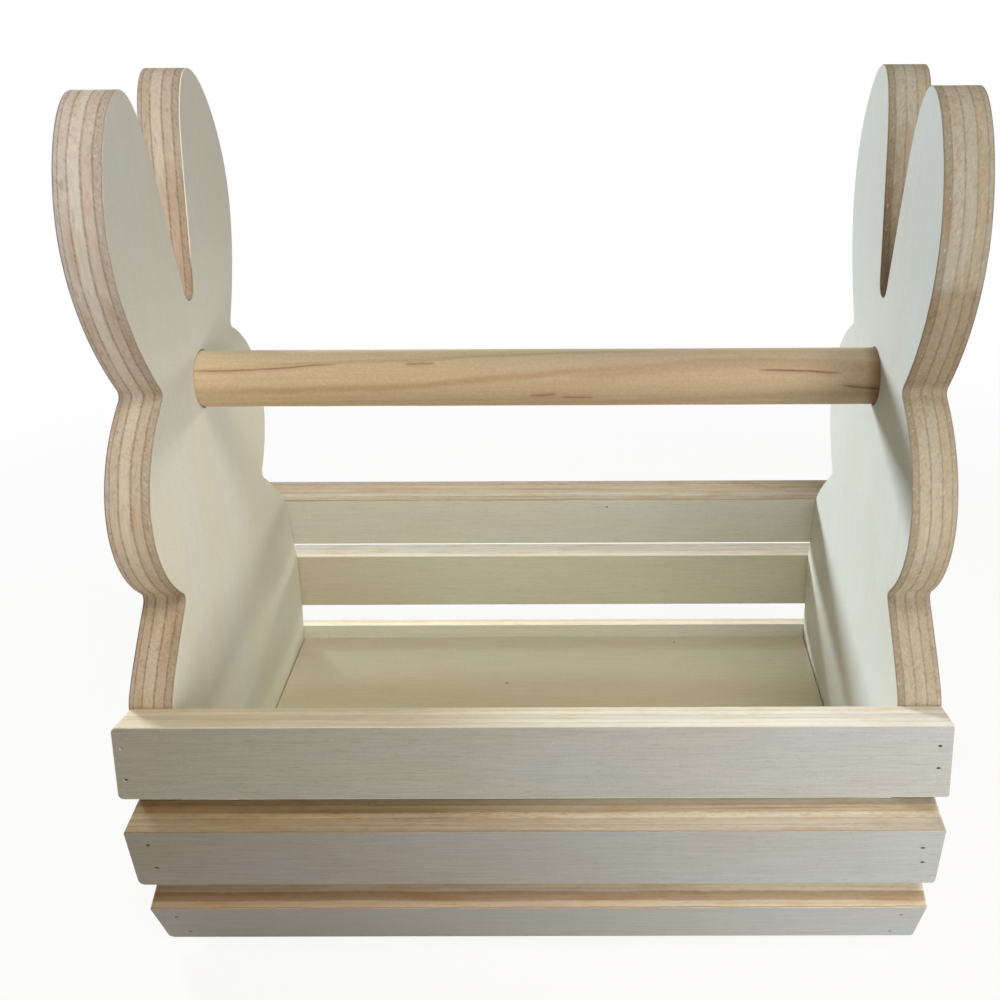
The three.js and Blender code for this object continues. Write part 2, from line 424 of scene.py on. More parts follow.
@dataclass(frozen=True)
class Spot:
    """Round place on a piece of wood, seen square to its faces.

    Attributes:
        along: Place along the grain in millimetres from the middle.
        across: Place across the grain in millimetres from the middle.
        radius: Radius in millimetres.
        core: Share of the radius that is wholly in the spot.
        strength: How strongly its middle shows, from 0 to 1.
    """

    along: float
    across: float
    radius: float
    core: float = 0.5
    strength: float = 1.0

    def nearness(self, bench: NodeBench, place: Socket) -> Socket:
        """How strongly the spot shows at a place, from 0 to 1.

        Args:
            bench: Bench of the material.
            place: Place in the wood's own frame.

        Returns:
            The number's socket.
        """
        parts = zip(bench.split(place), (self.along, self.across))
        squares = [bench.math("POWER", bench.minus(part, middle), 2.0) for part, middle in parts]
        apart = bench.math("SQRT", bench.plus(*squares))
        return bench.ease(apart, Ramp(self.core * self.radius, self.radius, self.strength, 0.0))


# Figure of the plywood's faces

FACE_FIBRES = Grain((0.06, 1.6, 1.6), 3.0, 0.6)
FACE_DASHES = Grain((0.22, 2.6, 2.6), 2.0, 0.5, 1.0)
FACE_CLOUDS = Grain((0.011, 0.03, 0.03), 3.0, 0.5, 2.0)
FACE_FUZZ = Grain((1.6, 2.2, 2.2), 2.0, 0.6, 9.0)
FACE_TILT = Ramp(0.8, 0.98)
FIBRE_SWING = Ramp(0.25, 0.75, -0.08, 0.07)
FUZZ_SWING = Ramp(0.2, 0.8, -0.08, 0.08)
CLOUD_SWING = Ramp(0.25, 0.75, -0.04, 0.04)
COOL_CLOUDS = Ramp(0.35, 0.65)
DASH = Ramp(0.56, 0.72)
DASH_STRENGTH = 0.3
DASH_DEPTH = 0.3
FIBRE_HEIGHT = 0.5
FACE_HEIGHT = 0.4
SPECK_STRENGTH = 0.85

# Figure of the plywood's edges and arrises

EDGE_WANDER = Grain((0.05, 0.05, 0.05), 2.0, 0.5, 3.0)
EDGE_FIBRES = Grain((0.02, 1.1, 1.1), 4.0, 0.6, 4.0)
EDGE_TEARS = Grain((0.4, 1.0, 1.5), 3.0, 0.6, 5.0)
EDGE_BLOTCHES = Grain((0.05, 0.05, 0.2), 3.0, 0.6, 6.0)
EDGE_RESIN = Grain((0.01, 0.75, 0.75), 2.0, 0.4, 8.0)
EDGE_CHIPS = Grain((0.5, 1.6, 1.6), 2.0, 0.5, 11.0)
ARRIS_RUB = Grain((0.4, 0.4, 0.4), 3.0, 0.55, 7.0)
SKIN_RAGGED = Grain((0.12, 0.12, 0.12), 3.0, 0.6, 10.0)
END_TILT = Ramp(0.25, 0.85)
END_TORN = 0.45
WANDER_DEPTH = Ramp(0.2, 0.8, -0.3, 0.3)
EDGE_SWING = Ramp(0.25, 0.75, -0.14, 0.1)
WARM_BLOTCHES = Ramp(0.48, 0.7)
TEAR_DARK = Ramp(0.5, 0.68, 0.0, 0.8)
TEAR_LIGHT = Ramp(0.3, 0.46, 0.16, 0.0)
CHIP = Ramp(0.62, 0.7, 0.0, 0.55)
RESIN_STREAK = Ramp(0.6, 0.72, 0.0, 0.35)
GLUE_LINE = Ramp(0.0, 0.17, 1.0, 0.0)
GLUE_BROKEN = Ramp(0.3, 0.7, 0.25, 0.6)
GLUE_DEPTH = 0.3
EDGE_HEIGHT = 0.4
SKIN_DEPTH = Ramp(0.25, 0.75, -0.15, 0.15)
SKIN_BORDER = Ramp(-0.08, 0.08)
SKIN_LINE = Ramp(0.06, 0.34, 0.7, 0.0)
ARRIS_TILT = Ramp(0.04, 0.2)
ARRIS_RUBBED = Ramp(0.35, 0.65, 0.2, 1.0)
PLY_ROUGHNESS = Ramp(0.0, 1.0, 0.8, 0.64)
PLY_RELIEF = 0.1 * MM
PLY_SHINE: Inputs = {"Specular IOR Level": 0.1}


@dataclass(frozen=True)
class PlyFinish:
    """Bare sheet: sanded face veneer over plies that show as bands on the cut edges.

    Attributes:
        stack: Plies from one face to the other.
        seed: Number that picks this piece's figure.
        face: Colour of the veneer of the first face.
        back: Colour of the veneer of the second face.
        figure: Contrast of the grain on the faces.
        streaks: Contrast of the streaks on the edges.
        specks: Dark marks on the second face.
        painted_shades: Places on the second face darkened as painted shade.
        painted_highlights: Places where the arrises are painted pale as highlights.
        burns_and_shades: Places where the edges are darkened: partly saw burn, partly painted shade.
        cool: Tint of the greyer patches of the veneer.
        glue: Colour of glue lines and dark streaks.
        dirt: Colour of the specks.
        painted_shade_tint: Tint of the painted shade on those places.
        arris: Colour of the sanded arrises, and of the painted highlights on them.
        tear: Tint of torn fibres.
        burn_and_shade: Tint of those darkened edges.
        warm: Tint of the browner patches of the edges.
        half: Half the thickness in millimetres.
        veneer: Thickness of the face veneer in millimetres.
        face_painted_shading: Tint of the first face at the end of the grain: painted shade.
        edge_painted_shading: Tint of the edges at the end of the grain: painted light and shade.
        painted_shading_reach: Places along the grain between which these tints set in, in millimetres.
        lines: Strength of the glue lines along the grain.
        rubbed: Strength of the pale arrises.
        slant: Angle between torn fibres and the grain.
    """

    stack: Stack
    seed: float
    face: Colour
    back: Colour
    figure: float = 1.0
    streaks: float = 1.0
    specks: tuple[Spot, ...] = ()
    painted_shades: tuple[Spot, ...] = ()
    painted_highlights: tuple[Spot, ...] = ()
    burns_and_shades: tuple[Spot, ...] = ()
    cool: Colour = (0.94, 0.98, 1.035)
    glue: Colour = (0.31, 0.205, 0.14)
    dirt: Colour = (0.13, 0.1, 0.065)
    painted_shade_tint: Colour = (0.905, 0.875, 0.80)
    arris: Colour = (0.90, 0.87, 0.78)
    tear: Colour = (0.72, 0.60, 0.53)
    burn_and_shade: Colour = (0.75, 0.66, 0.575)
    warm: Colour = (0.92, 0.84, 0.73)
    half: float = SHEET_THICKNESS * PER_MM / 2
    veneer: float = 0.28
    face_painted_shading: Colour = WHITE
    edge_painted_shading: Colour = WHITE
    painted_shading_reach: Reach = (-110.0, 120.0)
    lines: float = 1.0
    rubbed: float = 0.05
    slant: float = 0.0

    def material(self, name: str, lay: Lay) -> Material:
        """Build the material of one piece.

        Args:
            name: Name of the material.
            lay: How the piece lies.

        Returns:
            The material.
        """
        bench = NodeBench(bpy.data.materials.new(name))
        place, direction = lay.coordinates(bench)
        along, _, through = bench.split(place)
        to_end, _, to_face = (bench.size(part) for part in bench.split(direction))
        ragged = bench.ease(bench.grain(place, SKIN_RAGGED, self.seed), SKIN_DEPTH)
        to_skin = bench.minus(bench.plus(bench.size(through), ragged), self.half - self.veneer)
        is_face = bench.times(bench.ease(to_face, FACE_TILT), bench.ease(to_skin, SKIN_BORDER))
        edge, edge_height = self._edge(bench, place, to_skin, bench.ease(to_end, END_TILT))
        face, face_height = self._face(bench, place)
        # Painted light and shade along the grain: the first face darkens towards one end of the grain, and
        # the edges darken towards it too, except on the left panel, whose edges lighten.
        painted_shading_share = bench.ease(along, Ramp(*self.painted_shading_reach))
        edge = bench.tint(painted_shading_share, edge, self.edge_painted_shading)
        # Darker places on the edges: partly saw burn, partly painted shade in recesses and beneath the right
        # ear.
        for spot in self.burns_and_shades:
            edge = bench.tint(spot.nearness(bench, place), edge, self.burn_and_shade)
        is_first = bench.math("LESS_THAN", through, 0.0)
        face = bench.tint(bench.times(painted_shading_share, is_first), face, self.face_painted_shading)
        colour = bench.mix(is_face, edge, face)
        colour = bench.mix(self._pale(bench, place, to_face), colour, self.arris)
        rise = bench.times(is_face, bench.minus(face_height, edge_height))
        height = bench.plus(edge_height, rise)
        roughness = bench.ease(is_face, PLY_ROUGHNESS)
        return bench.finish(colour, roughness, height, PLY_RELIEF, PLY_SHINE)

    def _pale(self, bench: NodeBench, place: Socket, to_face: Socket) -> Socket:
        """How pale an arris is: rubbed pale at random, and made pale as painted highlight at given spots.

        Args:
            bench: Bench of the material.
            place: Place in the wood's own frame.
            to_face: How far the surface faces through the sheet, from 0 to 1.

        Returns:
            The socket of a number from 0 to 1.
        """
        rubbed = bench.ease(bench.grain(place, ARRIS_RUB, self.seed), ARRIS_RUBBED)
        rubbed = bench.times(rubbed, self.rubbed)
        # Painted highlights: given spots where the arris is made pale.
        for spot in self.painted_highlights:
            rubbed = bench.most(rubbed, spot.nearness(bench, place))
        bevel = bench.times(to_face, bench.minus(1.0, to_face))
        return bench.times(bench.ease(bevel, ARRIS_TILT), rubbed)

    def _face(self, bench: NodeBench, place: Socket) -> tuple[Socket, Socket]:
        """Colour and height of the face veneer.

        Args:
            bench: Bench of the material.
            place: Place in the wood's own frame.

        Returns:
            Sockets of the colour and of the height.
        """
        figure = (FACE_FIBRES, FACE_DASHES, FACE_CLOUDS, FACE_FUZZ)
        fibres, dashes, clouds, fuzz = (bench.grain(place, grain, self.seed) for grain in figure)
        is_dash = bench.ease(dashes, DASH)
        is_back = bench.math("GREATER_THAN", bench.split(place)[2], 0.0)
        colour = bench.mix(is_back, self.face, self.back)
        colour = bench.tint(bench.ease(clouds, COOL_CLOUDS), colour, self.cool)
        colour = bench.vary(colour, fibres, FIBRE_SWING, self.figure)
        colour = bench.vary(colour, fuzz, FUZZ_SWING)
        colour = bench.vary(colour, clouds, CLOUD_SWING)
        colour = bench.mix(bench.times(is_dash, DASH_STRENGTH * self.figure), colour, self.glue)
        # Painted shade: darker places on the second face.
        for spot in self.painted_shades:
            near = bench.times(spot.nearness(bench, place), is_back)
            colour = bench.tint(near, colour, self.painted_shade_tint)
        for spot in self.specks:
            near = bench.times(spot.nearness(bench, place), is_back)
            colour = bench.mix(bench.times(near, SPECK_STRENGTH), colour, self.dirt)
        height = bench.minus(bench.times(fibres, FIBRE_HEIGHT), bench.times(is_dash, DASH_DEPTH))
        return colour, bench.plus(height, FACE_HEIGHT)

    def _edge(
        self, bench: NodeBench, place: Socket, to_skin: Socket, ends: Socket,
    ) -> tuple[Socket, Socket]:
        """Colour and height of a cut edge.

        Args:
            bench: Bench of the material.
            place: Place in the wood's own frame.
            to_skin: Millimetres from the border of the face veneer, more than 0 in it.
            ends: How far the edge cuts across the fibres, from 0 to 1.

        Returns:
            Sockets of the colour and of the height.
        """
        figure = (EDGE_FIBRES, EDGE_BLOTCHES, EDGE_RESIN, EDGE_CHIPS)
        fibres, blotches, resin, chips = (bench.grain(place, grain, self.seed) for grain in figure)
        tears = bench.grain(bench.turned(place, self.slant), EDGE_TEARS, self.seed)
        wander = bench.ease(bench.grain(place, EDGE_WANDER, self.seed), WANDER_DEPTH)
        depth = bench.plus(bench.split(place)[2], wander)
        share = bench.plus(bench.math("DIVIDE", depth, 2 * self.half), 0.5)
        count = len(self.stack)
        borders = [0.0, *glue_lines(self.stack), 1.0]
        level = bench.curve(share, [(border, index / count) for index, border in enumerate(borders)])
        colour, torn = bench.steps(level, self.stack)
        colour = bench.vary(colour, fibres, EDGE_SWING, self.streaks)
        colour = bench.tint(bench.ease(blotches, WARM_BLOTCHES), colour, self.warm)
        rough = bench.most(torn, bench.times(ends, END_TORN))
        colour = bench.tint(bench.times(rough, bench.ease(tears, TEAR_DARK)), colour, self.tear)
        light = bench.times(rough, bench.ease(tears, TEAR_LIGHT))
        colour = bench.shade(colour, bench.plus(1.0, light))
        colour = bench.mix(bench.times(bench.ease(chips, CHIP), rough), colour, self.arris)
        streak = bench.times(bench.ease(resin, RESIN_STREAK), self.streaks)
        colour = bench.mix(streak, colour, self.glue)
        off_line = bench.size(bench.minus(bench.math("FRACT", bench.times(level, count)), 0.5))
        inside = bench.math("LESS_THAN", bench.size(depth), self.half - 2 * self.veneer)
        line = bench.times(bench.ease(bench.minus(0.5, off_line), GLUE_LINE), inside)
        line = bench.times(line, bench.ease(tears, GLUE_BROKEN))
        line = bench.times(line, bench.most(ends, self.lines))
        under = bench.times(bench.ease(bench.size(to_skin), SKIN_LINE), 1.0 - self.rubbed)
        line = bench.most(line, under)
        colour = bench.mix(line, colour, self.glue)
        skin = bench.times(bench.ease(to_skin, SKIN_BORDER), self.rubbed)
        colour = bench.mix(skin, colour, self.arris)
        height = bench.plus(bench.times(fibres, EDGE_HEIGHT), bench.times(tears, EDGE_HEIGHT))
        return colour, bench.minus(height, bench.times(line, GLUE_DEPTH))


# Figure of the pine rail


@dataclass(frozen=True)
class Band:
    """Darker band that winds along the rail: late wood where it is wide, resin where it is thin.

    Attributes:
        course: Places along the rail in millimetres, each with its angle above the front in degrees.
        width: Half its width in millimetres.
        strength: Share of its colour, from 0 to 1.
    """

    course: tuple[tuple[float, float], ...]
    width: float
    strength: float


LATE_WOOD = (
    Band(
        ((-132.0, -9.0), (-82.0, -4.3), (-56.0, -0.6), (-31.0, 7.0), (-14.0, 18.0), (8.0, 28.0), (36.0, 39.5),
         (56.0, 49.5), (74.0, 53.5), (91.0, 51.0), (111.0, 44.0), (132.0, 33.0)),
        2.0, 0.75,
    ),
    Band(
        ((4.0, 24.0), (36.0, 36.0), (56.0, 43.0), (74.0, 46.0), (91.0, 44.0), (111.0, 38.0), (132.0, 28.0)),
        3.8, 0.65,
    ),
    Band(((-110.0, 44.0), (-62.0, 53.0), (-36.0, 60.0), (-20.0, 67.0), (8.0, 76.0), (50.0, 86.0)), 1.3, 0.6),
    Band(((-30.0, -50.0), (22.0, -41.0), (57.0, -31.0), (91.0, -21.0), (134.0, -9.0)), 2.6, 0.4),
    Band(((-132.0, -46.0), (-70.0, -38.0), (-10.0, -30.0), (30.0, -22.0)), 1.8, 0.3),
    Band(((-132.0, 150.0), (-40.0, 138.0), (30.0, 120.0), (80.0, 113.0), (132.0, 121.0)), 1.6, 0.7),
    Band(((-132.0, 172.0), (10.0, 160.0), (132.0, 168.0)), 1.2, 0.5),
    Band(((-132.0, -118.0), (0.0, -136.0), (132.0, -127.0)), 2.0, 0.6),
)
RESIN = (
    Band(((-122.0, 34.5), (-102.0, 36.5), (-87.0, 40.5), (-78.0, 44.5), (-68.0, 49.0)), 0.55, 0.85),
    Band(((-46.0, 47.8), (-35.0, 50.2)), 0.45, 0.75),
    Band(((76.0, 32.6), (91.0, 30.0), (106.0, 25.5)), 0.62, 1.0),
    Band(((105.0, 1.0), (112.0, -2.0), (124.0, -8.0)), 0.62, 0.95),
    Band(((-3.0, -21.0), (7.0, -18.0)), 0.5, 0.75),
    Band(((8.0, -26.5), (20.0, -27.0)), 0.48, 0.75),
)
HALOES = tuple(replace(band, width=2.0, strength=0.55) for band in RESIN)
BAND_CORE = 0.1
BAND_TAPER = 8.0
RAIL_BOW = Grain((0.05, 0.08, 0.08), 2.0, 0.5)
RAIL_FIBRES = Grain((0.04, 1.3, 1.3), 4.0, 0.6, 1.0)
RAIL_RIPPLES = Grain((0.9, 1.2, 1.2), 3.0, 0.65, 2.0)
BOW_ANGLE = Ramp(0.2, 0.8, -0.05, 0.05)
LATE_BROKEN = Ramp(0.3, 0.7, 0.75, 1.1)
RESIN_BROKEN = Ramp(0.3, 0.7, 0.6, 1.0)
RAIL_SWING = Ramp(0.25, 0.75, -0.06, 0.05)
RIPPLE_SWING = Ramp(0.2, 0.8, -0.1, 0.1)
RAIL_ROUGHNESS = Ramp(0.2, 0.8, 0.52, 0.66)
RAIL_RELIEF = 0.06 * MM
RAIL_SHINE: Inputs = {"Specular IOR Level": 0.35}


@dataclass(frozen=True)
class PineFinish:
    """Bare turned pine with the arched figure of a flat-sawn board, resin streaks, and painted light and
    shade.

    Attributes:
        early: Colour of the pale early wood.
        late: Colour of the darker late wood.
        resin: Colour of the resin streaks.
        painted_shade_tint: Tint of painted shade at the right end, where the rail enters the panel.
        painted_shade_end: Places along the rail between which that tint sets in, in millimetres.
        left: Tint of the left end.
        right: Tint of the right end.
        toned: Places along the rail between which the one tint turns into the other, in millimetres.
        painted_top_light: Bluer tint of the top: painted light from above.
        painted_top_light_reach: Heights above the rail's middle between which that tint sets in, in
            millimetres.
        painted_underside_light: Brightness of the lower side, and how it passes over to the rest of the rail:
            painted fill light.
        radius: Radius of the rail in millimetres.
        seed: Number that picks the figure.
    """

    early: Colour = (0.582, 0.445, 0.294)
    late: Colour = (0.45, 0.305, 0.185)
    resin: Colour = (0.22, 0.12, 0.055)
    painted_shade_tint: Colour = (0.55, 0.45, 0.36)
    painted_shade_end: Reach = (113.0, 118.0)
    left: Colour = (1.14, 1.12, 1.06)
    right: Colour = (0.89, 0.875, 0.845)
    toned: Reach = (-125.0, 60.0)
    painted_top_light: Colour = (1.0, 1.06, 1.13)
    painted_top_light_reach: Reach = (6.0, 10.0)
    painted_underside_light: Ramp = Ramp(-6.0, -2.5, 1.12, 1.0)
    radius: float = 10.0
    seed: float = 3.0

    def material(self, name: str, lay: Lay) -> Material:
        """Build the material.

        Args:
            name: Name of the material.
            lay: How the rail lies.

        Returns:
            The material.
        """
        bench = NodeBench(bpy.data.materials.new(name))
        place, _ = lay.coordinates(bench)
        along, across, through = bench.split(place)
        figure = (RAIL_BOW, RAIL_FIBRES, RAIL_RIPPLES)
        bow, fibres, ripples = (bench.grain(place, grain, self.seed) for grain in figure)
        angle = bench.math("ARCTAN2", through, bench.times(across, -1.0))
        angle = bench.plus(angle, bench.ease(bow, BOW_ANGLE))
        late = self._banded(bench, along, angle, LATE_WOOD + HALOES)
        late = bench.times(late, bench.ease(fibres, LATE_BROKEN))
        dark = self._banded(bench, along, angle, RESIN)
        dark = bench.times(dark, bench.ease(ripples, RESIN_BROKEN))
        colour = bench.mix(late, self.early, self.late)
        colour = bench.vary(colour, fibres, RAIL_SWING)
        colour = bench.vary(colour, ripples, RIPPLE_SWING)
        colour = bench.mix(dark, colour, self.resin)
        # Painted shade: darker and browner towards the right end, where the rail enters the panel.
        colour = bench.tint(bench.ease(along, Ramp(*self.painted_shade_end)), colour, self.painted_shade_tint)
        tone = bench.mix(bench.ease(along, Ramp(*self.toned)), self.left, self.right)
        colour = bench.tint(1.0, colour, tone)
        # Painted light: a bluer tint on the top for light from above, and a lighter lower side for fill
        # light.
        colour = bench.tint(bench.ease(through, Ramp(*self.painted_top_light_reach)), colour, self.painted_top_light)
        colour = bench.shade(colour, bench.ease(through, self.painted_underside_light))
        roughness = bench.ease(fibres, RAIL_ROUGHNESS)
        height = bench.minus(bench.plus(fibres, ripples), dark)
        return bench.finish(colour, roughness, height, RAIL_RELIEF, RAIL_SHINE)

    def _banded(self, bench: NodeBench, along: Socket, angle: Socket, bands: Iterable[Band]) -> Value:
        """How far a place lies in any of some bands.

        Args:
            bench: Bench of the material.
            along: Place along the rail.
            angle: Angle above the front.
            bands: The bands.

        Returns:
            The socket of a number from 0 to 1.
        """
        total: Value = 0.0
        for band in bands:
            first = band.course[0][0]
            length = band.course[-1][0] - first
            share = bench.math("DIVIDE", bench.minus(along, first), length)
            points = [((x - first) / length, 0.5 + turn / FULL_TURN) for x, turn in band.course]
            course = bench.times(bench.minus(bench.curve(share, points), 0.5), math.tau)
            apart = bench.times(bench.size(bench.minus(angle, course)), self.radius)
            inside = bench.ease(apart, Ramp(BAND_CORE * band.width, band.width, band.strength, 0.0))
            to_ends = bench.times(share, bench.minus(1.0, share))
            taper = bench.math("MULTIPLY", to_ends, BAND_TAPER, clamp=True)
            total = bench.most(total, bench.times(inside, taper))
        return total


# Figure of the brads, in metres

BRAD_BLOTCHES = Grain((1500.0, 1500.0, 1500.0), 3.0, 0.55)
BRAD_SCRATCHES = Grain((6000.0, 6000.0, 900.0), 2.0, 0.55)
BRAD_SPOTS = Ramp(0.4, 0.7)
BRAD_ROUGHNESS = Ramp(0.3, 0.7, 0.75, 0.55)
BRAD_RELIEF = 0.03 * MM


@dataclass(frozen=True)
class BradFinish:
    """Sunk brad head, bare or smeared over with filler.

    Attributes:
        light: Lighter colour.
        dark: Darker colour.
        metallic: Share of bare metal.
    """

    light: Colour
    dark: Colour
    metallic: float

    def material(self, name: str) -> Material:
        """Build the material.

        Args:
            name: Name of the material.

        Returns:
            The material.
        """
        bench = NodeBench(bpy.data.materials.new(name))
        place = bench.add("TexCoord", {}).outputs["Object"]
        blotches = bench.grain(place, BRAD_BLOTCHES)
        scratches = bench.grain(place, BRAD_SCRATCHES)
        colour = bench.mix(bench.ease(blotches, BRAD_SPOTS), self.dark, self.light)
        roughness = bench.ease(blotches, BRAD_ROUGHNESS)
        return bench.finish(colour, roughness, scratches, BRAD_RELIEF, {"Metallic": self.metallic})


# Meshes


def to_mesh(name: str, bm: BMesh) -> bpy.types.Mesh:
    """Turn a finished bmesh into a mesh and free it.

    Args:
        name: Name of the mesh.
        bm: The bmesh.

    Returns:
        The new mesh.
    """
    mesh = bpy.data.meshes.new(name)
    bm.to_mesh(mesh)
    bm.free()
    return mesh


def put(name: str, bm: BMesh, node: str, finish: PlyFinish | PineFinish, lay: Lay) -> None:
    """Put a finished mesh into the scene in place of a CAD node, and dress it.

    Args:
        name: Name of the piece.
        bm: Mesh in the caddy's frame.
        node: CAD node that the piece stands for.
        finish: Finish of the wood.
        lay: How the wood lies.
    """
    mesh = to_mesh(name, bm)
    piece = bpy.data.objects.new(name, mesh)
    bpy.context.scene.collection.objects.link(piece)
    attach(piece, BODY)
    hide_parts(node)
    mesh.materials.append(finish.material(name, lay))
    log.info("%s: %d faces", name, len(mesh.polygons))


def running(edges: Iterable[BMEdge], direction: Vector, least: float) -> list[BMEdge]:
    """Edges that run further than a least length in a direction."""
    return [edge for edge in edges if abs((edge.verts[0].co - edge.verts[1].co).dot(direction)) > least]


def round_over(bm: BMesh, edges: Iterable[BMEdge], radius: float, steps: int, clamp: bool = False) -> None:
    """Round edges of a mesh over.

    Args:
        bm: The mesh.
        edges: Edges to round.
        radius: How far the rounding reaches from an edge.
        steps: Facets across the rounding.
        clamp: Whether roundings stop where they meet.
    """
    bmesh.ops.bevel(
        bm, geom=list(edges), offset=radius, offset_type="OFFSET", segments=steps,
        profile=0.5, affect="EDGES", material=-1, clamp_overlap=clamp,
    )


@dataclass
class Sheet:
    """Plywood blank that is being worked.

    Attributes:
        bm: Mesh of the blank.
        thickness: Thickness of the sheet.
        through: Direction through the thickness.
        stack: Plies, in that direction.
        middle: Any point in the middle of the sheet.
        arris: Radius of the eased arrises.
        arris_steps: Facets across an arris.
        line_width: Width of the groove at a glue line.
        line_depth: Depth of the groove at a glue line.
        wear: Most that an arris is worn back.
        wear_length: Length of a worn stretch.
        nick: Depth of the shorter wear as a share of the longer one's.
        nick_length: Length of the shorter wear as a share of the longer one's.
        sharp: Least angle of a sharp edge away from the arrises.
        facing: Least tilt towards the sheet's direction of one of the sheet's faces.
        flat: Least tilt towards the sheet's direction of a face that lies flat.
        upright: Most tilt towards the sheet's direction of a face that stands upright.
        weld: Distance at which a cut runs through an existing corner.
    """

    bm: BMesh
    thickness: float
    through: Vector
    stack: Stack
    middle: Vector = field(default_factory=Vector)
    arris: float = 0.35 * MM
    arris_steps: int = 3
    line_width: float = 0.16 * MM
    line_depth: float = 0.05 * MM
    wear: float = 0.07 * MM
    wear_length: float = 5.0 * MM
    nick: float = 0.3
    nick_length: float = 0.2
    sharp: float = math.radians(32.0)
    facing: float = 0.99
    flat: float = 0.9999
    upright: float = 0.05
    weld: float = 1e-7

    def ease_arrises(self) -> None:
        """Round the edges of both faces over."""
        faces = [face for face in self.bm.faces if abs(face.normal.dot(self.through)) > self.facing]
        rims = {edge for face in faces for edge in face.edges}
        round_over(self.bm, rims, self.arris, self.arris_steps, clamp=True)

    def score_glue_lines(self) -> None:
        """Cut a shallow groove round the blank at each glue line."""
        bm = self.bm
        lines = [(share - 0.5) * self.thickness for share in glue_lines(self.stack)]
        for line in lines:
            for side in (-0.5, 0.5):
                bmesh.ops.bisect_plane(
                    bm, geom=bm.verts[:] + bm.edges[:] + bm.faces[:], dist=self.weld, plane_no=self.through,
                    plane_co=self.middle + self.through * (line + side * self.line_width),
                )
        strips = []
        for face in bm.faces:
            depth = (face.calc_center_median() - self.middle).dot(self.through)
            if any(abs(depth - line) < self.line_width / 2 for line in lines):
                strips.append(face)
        bmesh.ops.inset_region(bm, faces=strips, thickness=0.0, depth=-self.line_depth, use_even_offset=True)

    def wear_arrises(self) -> None:
        """Wear the arrises of both faces back a little, more here and less there."""
        self.bm.normal_update()
        for vert in self.bm.verts:
            depth = abs((vert.co - self.middle).dot(self.through))
            near_face = (depth - self.thickness / 2) / self.arris + 1.0
            if near_face <= 0.0:
                continue
            inwards = vert.normal - self.through * vert.normal.dot(self.through)
            nicks = noise.noise(vert.co / (self.nick_length * self.wear_length))
            rub = max(0.0, noise.noise(vert.co / self.wear_length) + self.nick * nicks)
            vert.co -= inwards * rub * near_face * self.wear

    def bring(self, place: Matrix) -> None:
        """Bring a blank that was made at the origin to its place.

        Args:
            place: Matrix of the place.
        """
        bmesh.ops.transform(self.bm, matrix=place, verts=self.bm.verts[:])
        self.through = place.to_3x3() @ self.through
        self.middle = place @ self.middle

    def punch(self, holes: BMesh) -> None:
        """Cut holes into the blank.

        Args:
            holes: Closed shapes of the holes, which don't touch each other.
        """
        tools = {"blank": self.bm, "punch": holes}
        blank, punch = (bpy.data.objects.new(name, to_mesh(name, bm)) for name, bm in tools.items())
        for item in (blank, punch):
            bpy.context.scene.collection.objects.link(item)
        cut = blank.modifiers.new("holes", "BOOLEAN")
        cut.operation = "DIFFERENCE"
        cut.solver = "EXACT"
        cut.object = punch
        self.bm = bmesh.new()
        self.bm.from_object(blank, bpy.context.evaluated_depsgraph_get())
        for item in (blank, punch):
            mesh = item.data
            bpy.data.objects.remove(item)
            bpy.data.meshes.remove(mesh)

    def smooth(self) -> None:
        """Shade the blank smooth, with the borders of the arrises sharp."""
        self.bm.normal_update()
        for face in self.bm.faces:
            face.smooth = True
        for edge in self.bm.edges:
            tilts = [abs(face.normal.dot(self.through)) for face in edge.link_faces]
            border = max(tilts) > self.flat or min(tilts) < self.upright < max(tilts)
            edge.smooth = not border and edge.calc_face_angle(math.pi) < self.sharp


@dataclass
class BradPunch:
    """Hole that a sunk brad leaves in the face of a piece.

    Attributes:
        width: Length of the hole along the head.
        height: Width of the hole across the head.
        corner: Radius of its corners.
        corner_steps: Facets round a corner.
        depth: Depth below the top of the head.
        reach: Height above the top of the head.
        slack: Most by which the corners of a head's top differ in height.
    """

    width: float = 1.34 * MM
    height: float = 1.0 * MM
    corner: float = 0.42 * MM
    corner_steps: int = 3
    depth: float = 0.9 * MM
    reach: float = 1.5 * MM
    slack: float = 0.01 * MM

    def add(self, bm: BMesh, node: str, outwards: Vector, widthwise: Vector) -> None:
        """Add the hole's shape round the head of a CAD brad.

        Args:
            bm: Mesh that collects the holes.
            node: CAD node of the brad.
            outwards: Direction out of the wood.
            widthwise: Direction along the head.
        """
        corners = [vert.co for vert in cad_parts[node].data.vertices]
        top = max(corner.dot(outwards) for corner in corners)
        head = [corner for corner in corners if top - corner.dot(outwards) < self.slack]
        middle = sum(head, Vector()) / len(head) + outwards * (self.reach - self.depth) / 2
        heightwise = outwards.cross(widthwise)
        length = self.reach + self.depth
        sides = Matrix((widthwise * self.width, heightwise * self.height, outwards * length)).transposed()
        place = Matrix.Translation(middle) @ sides.to_4x4()
        cube = bmesh.ops.create_cube(bm, size=1.0, matrix=place)
        edges = {edge for vert in cube["verts"] for edge in vert.link_edges}
        round_over(bm, running(edges, outwards, self.reach), self.corner, self.corner_steps)


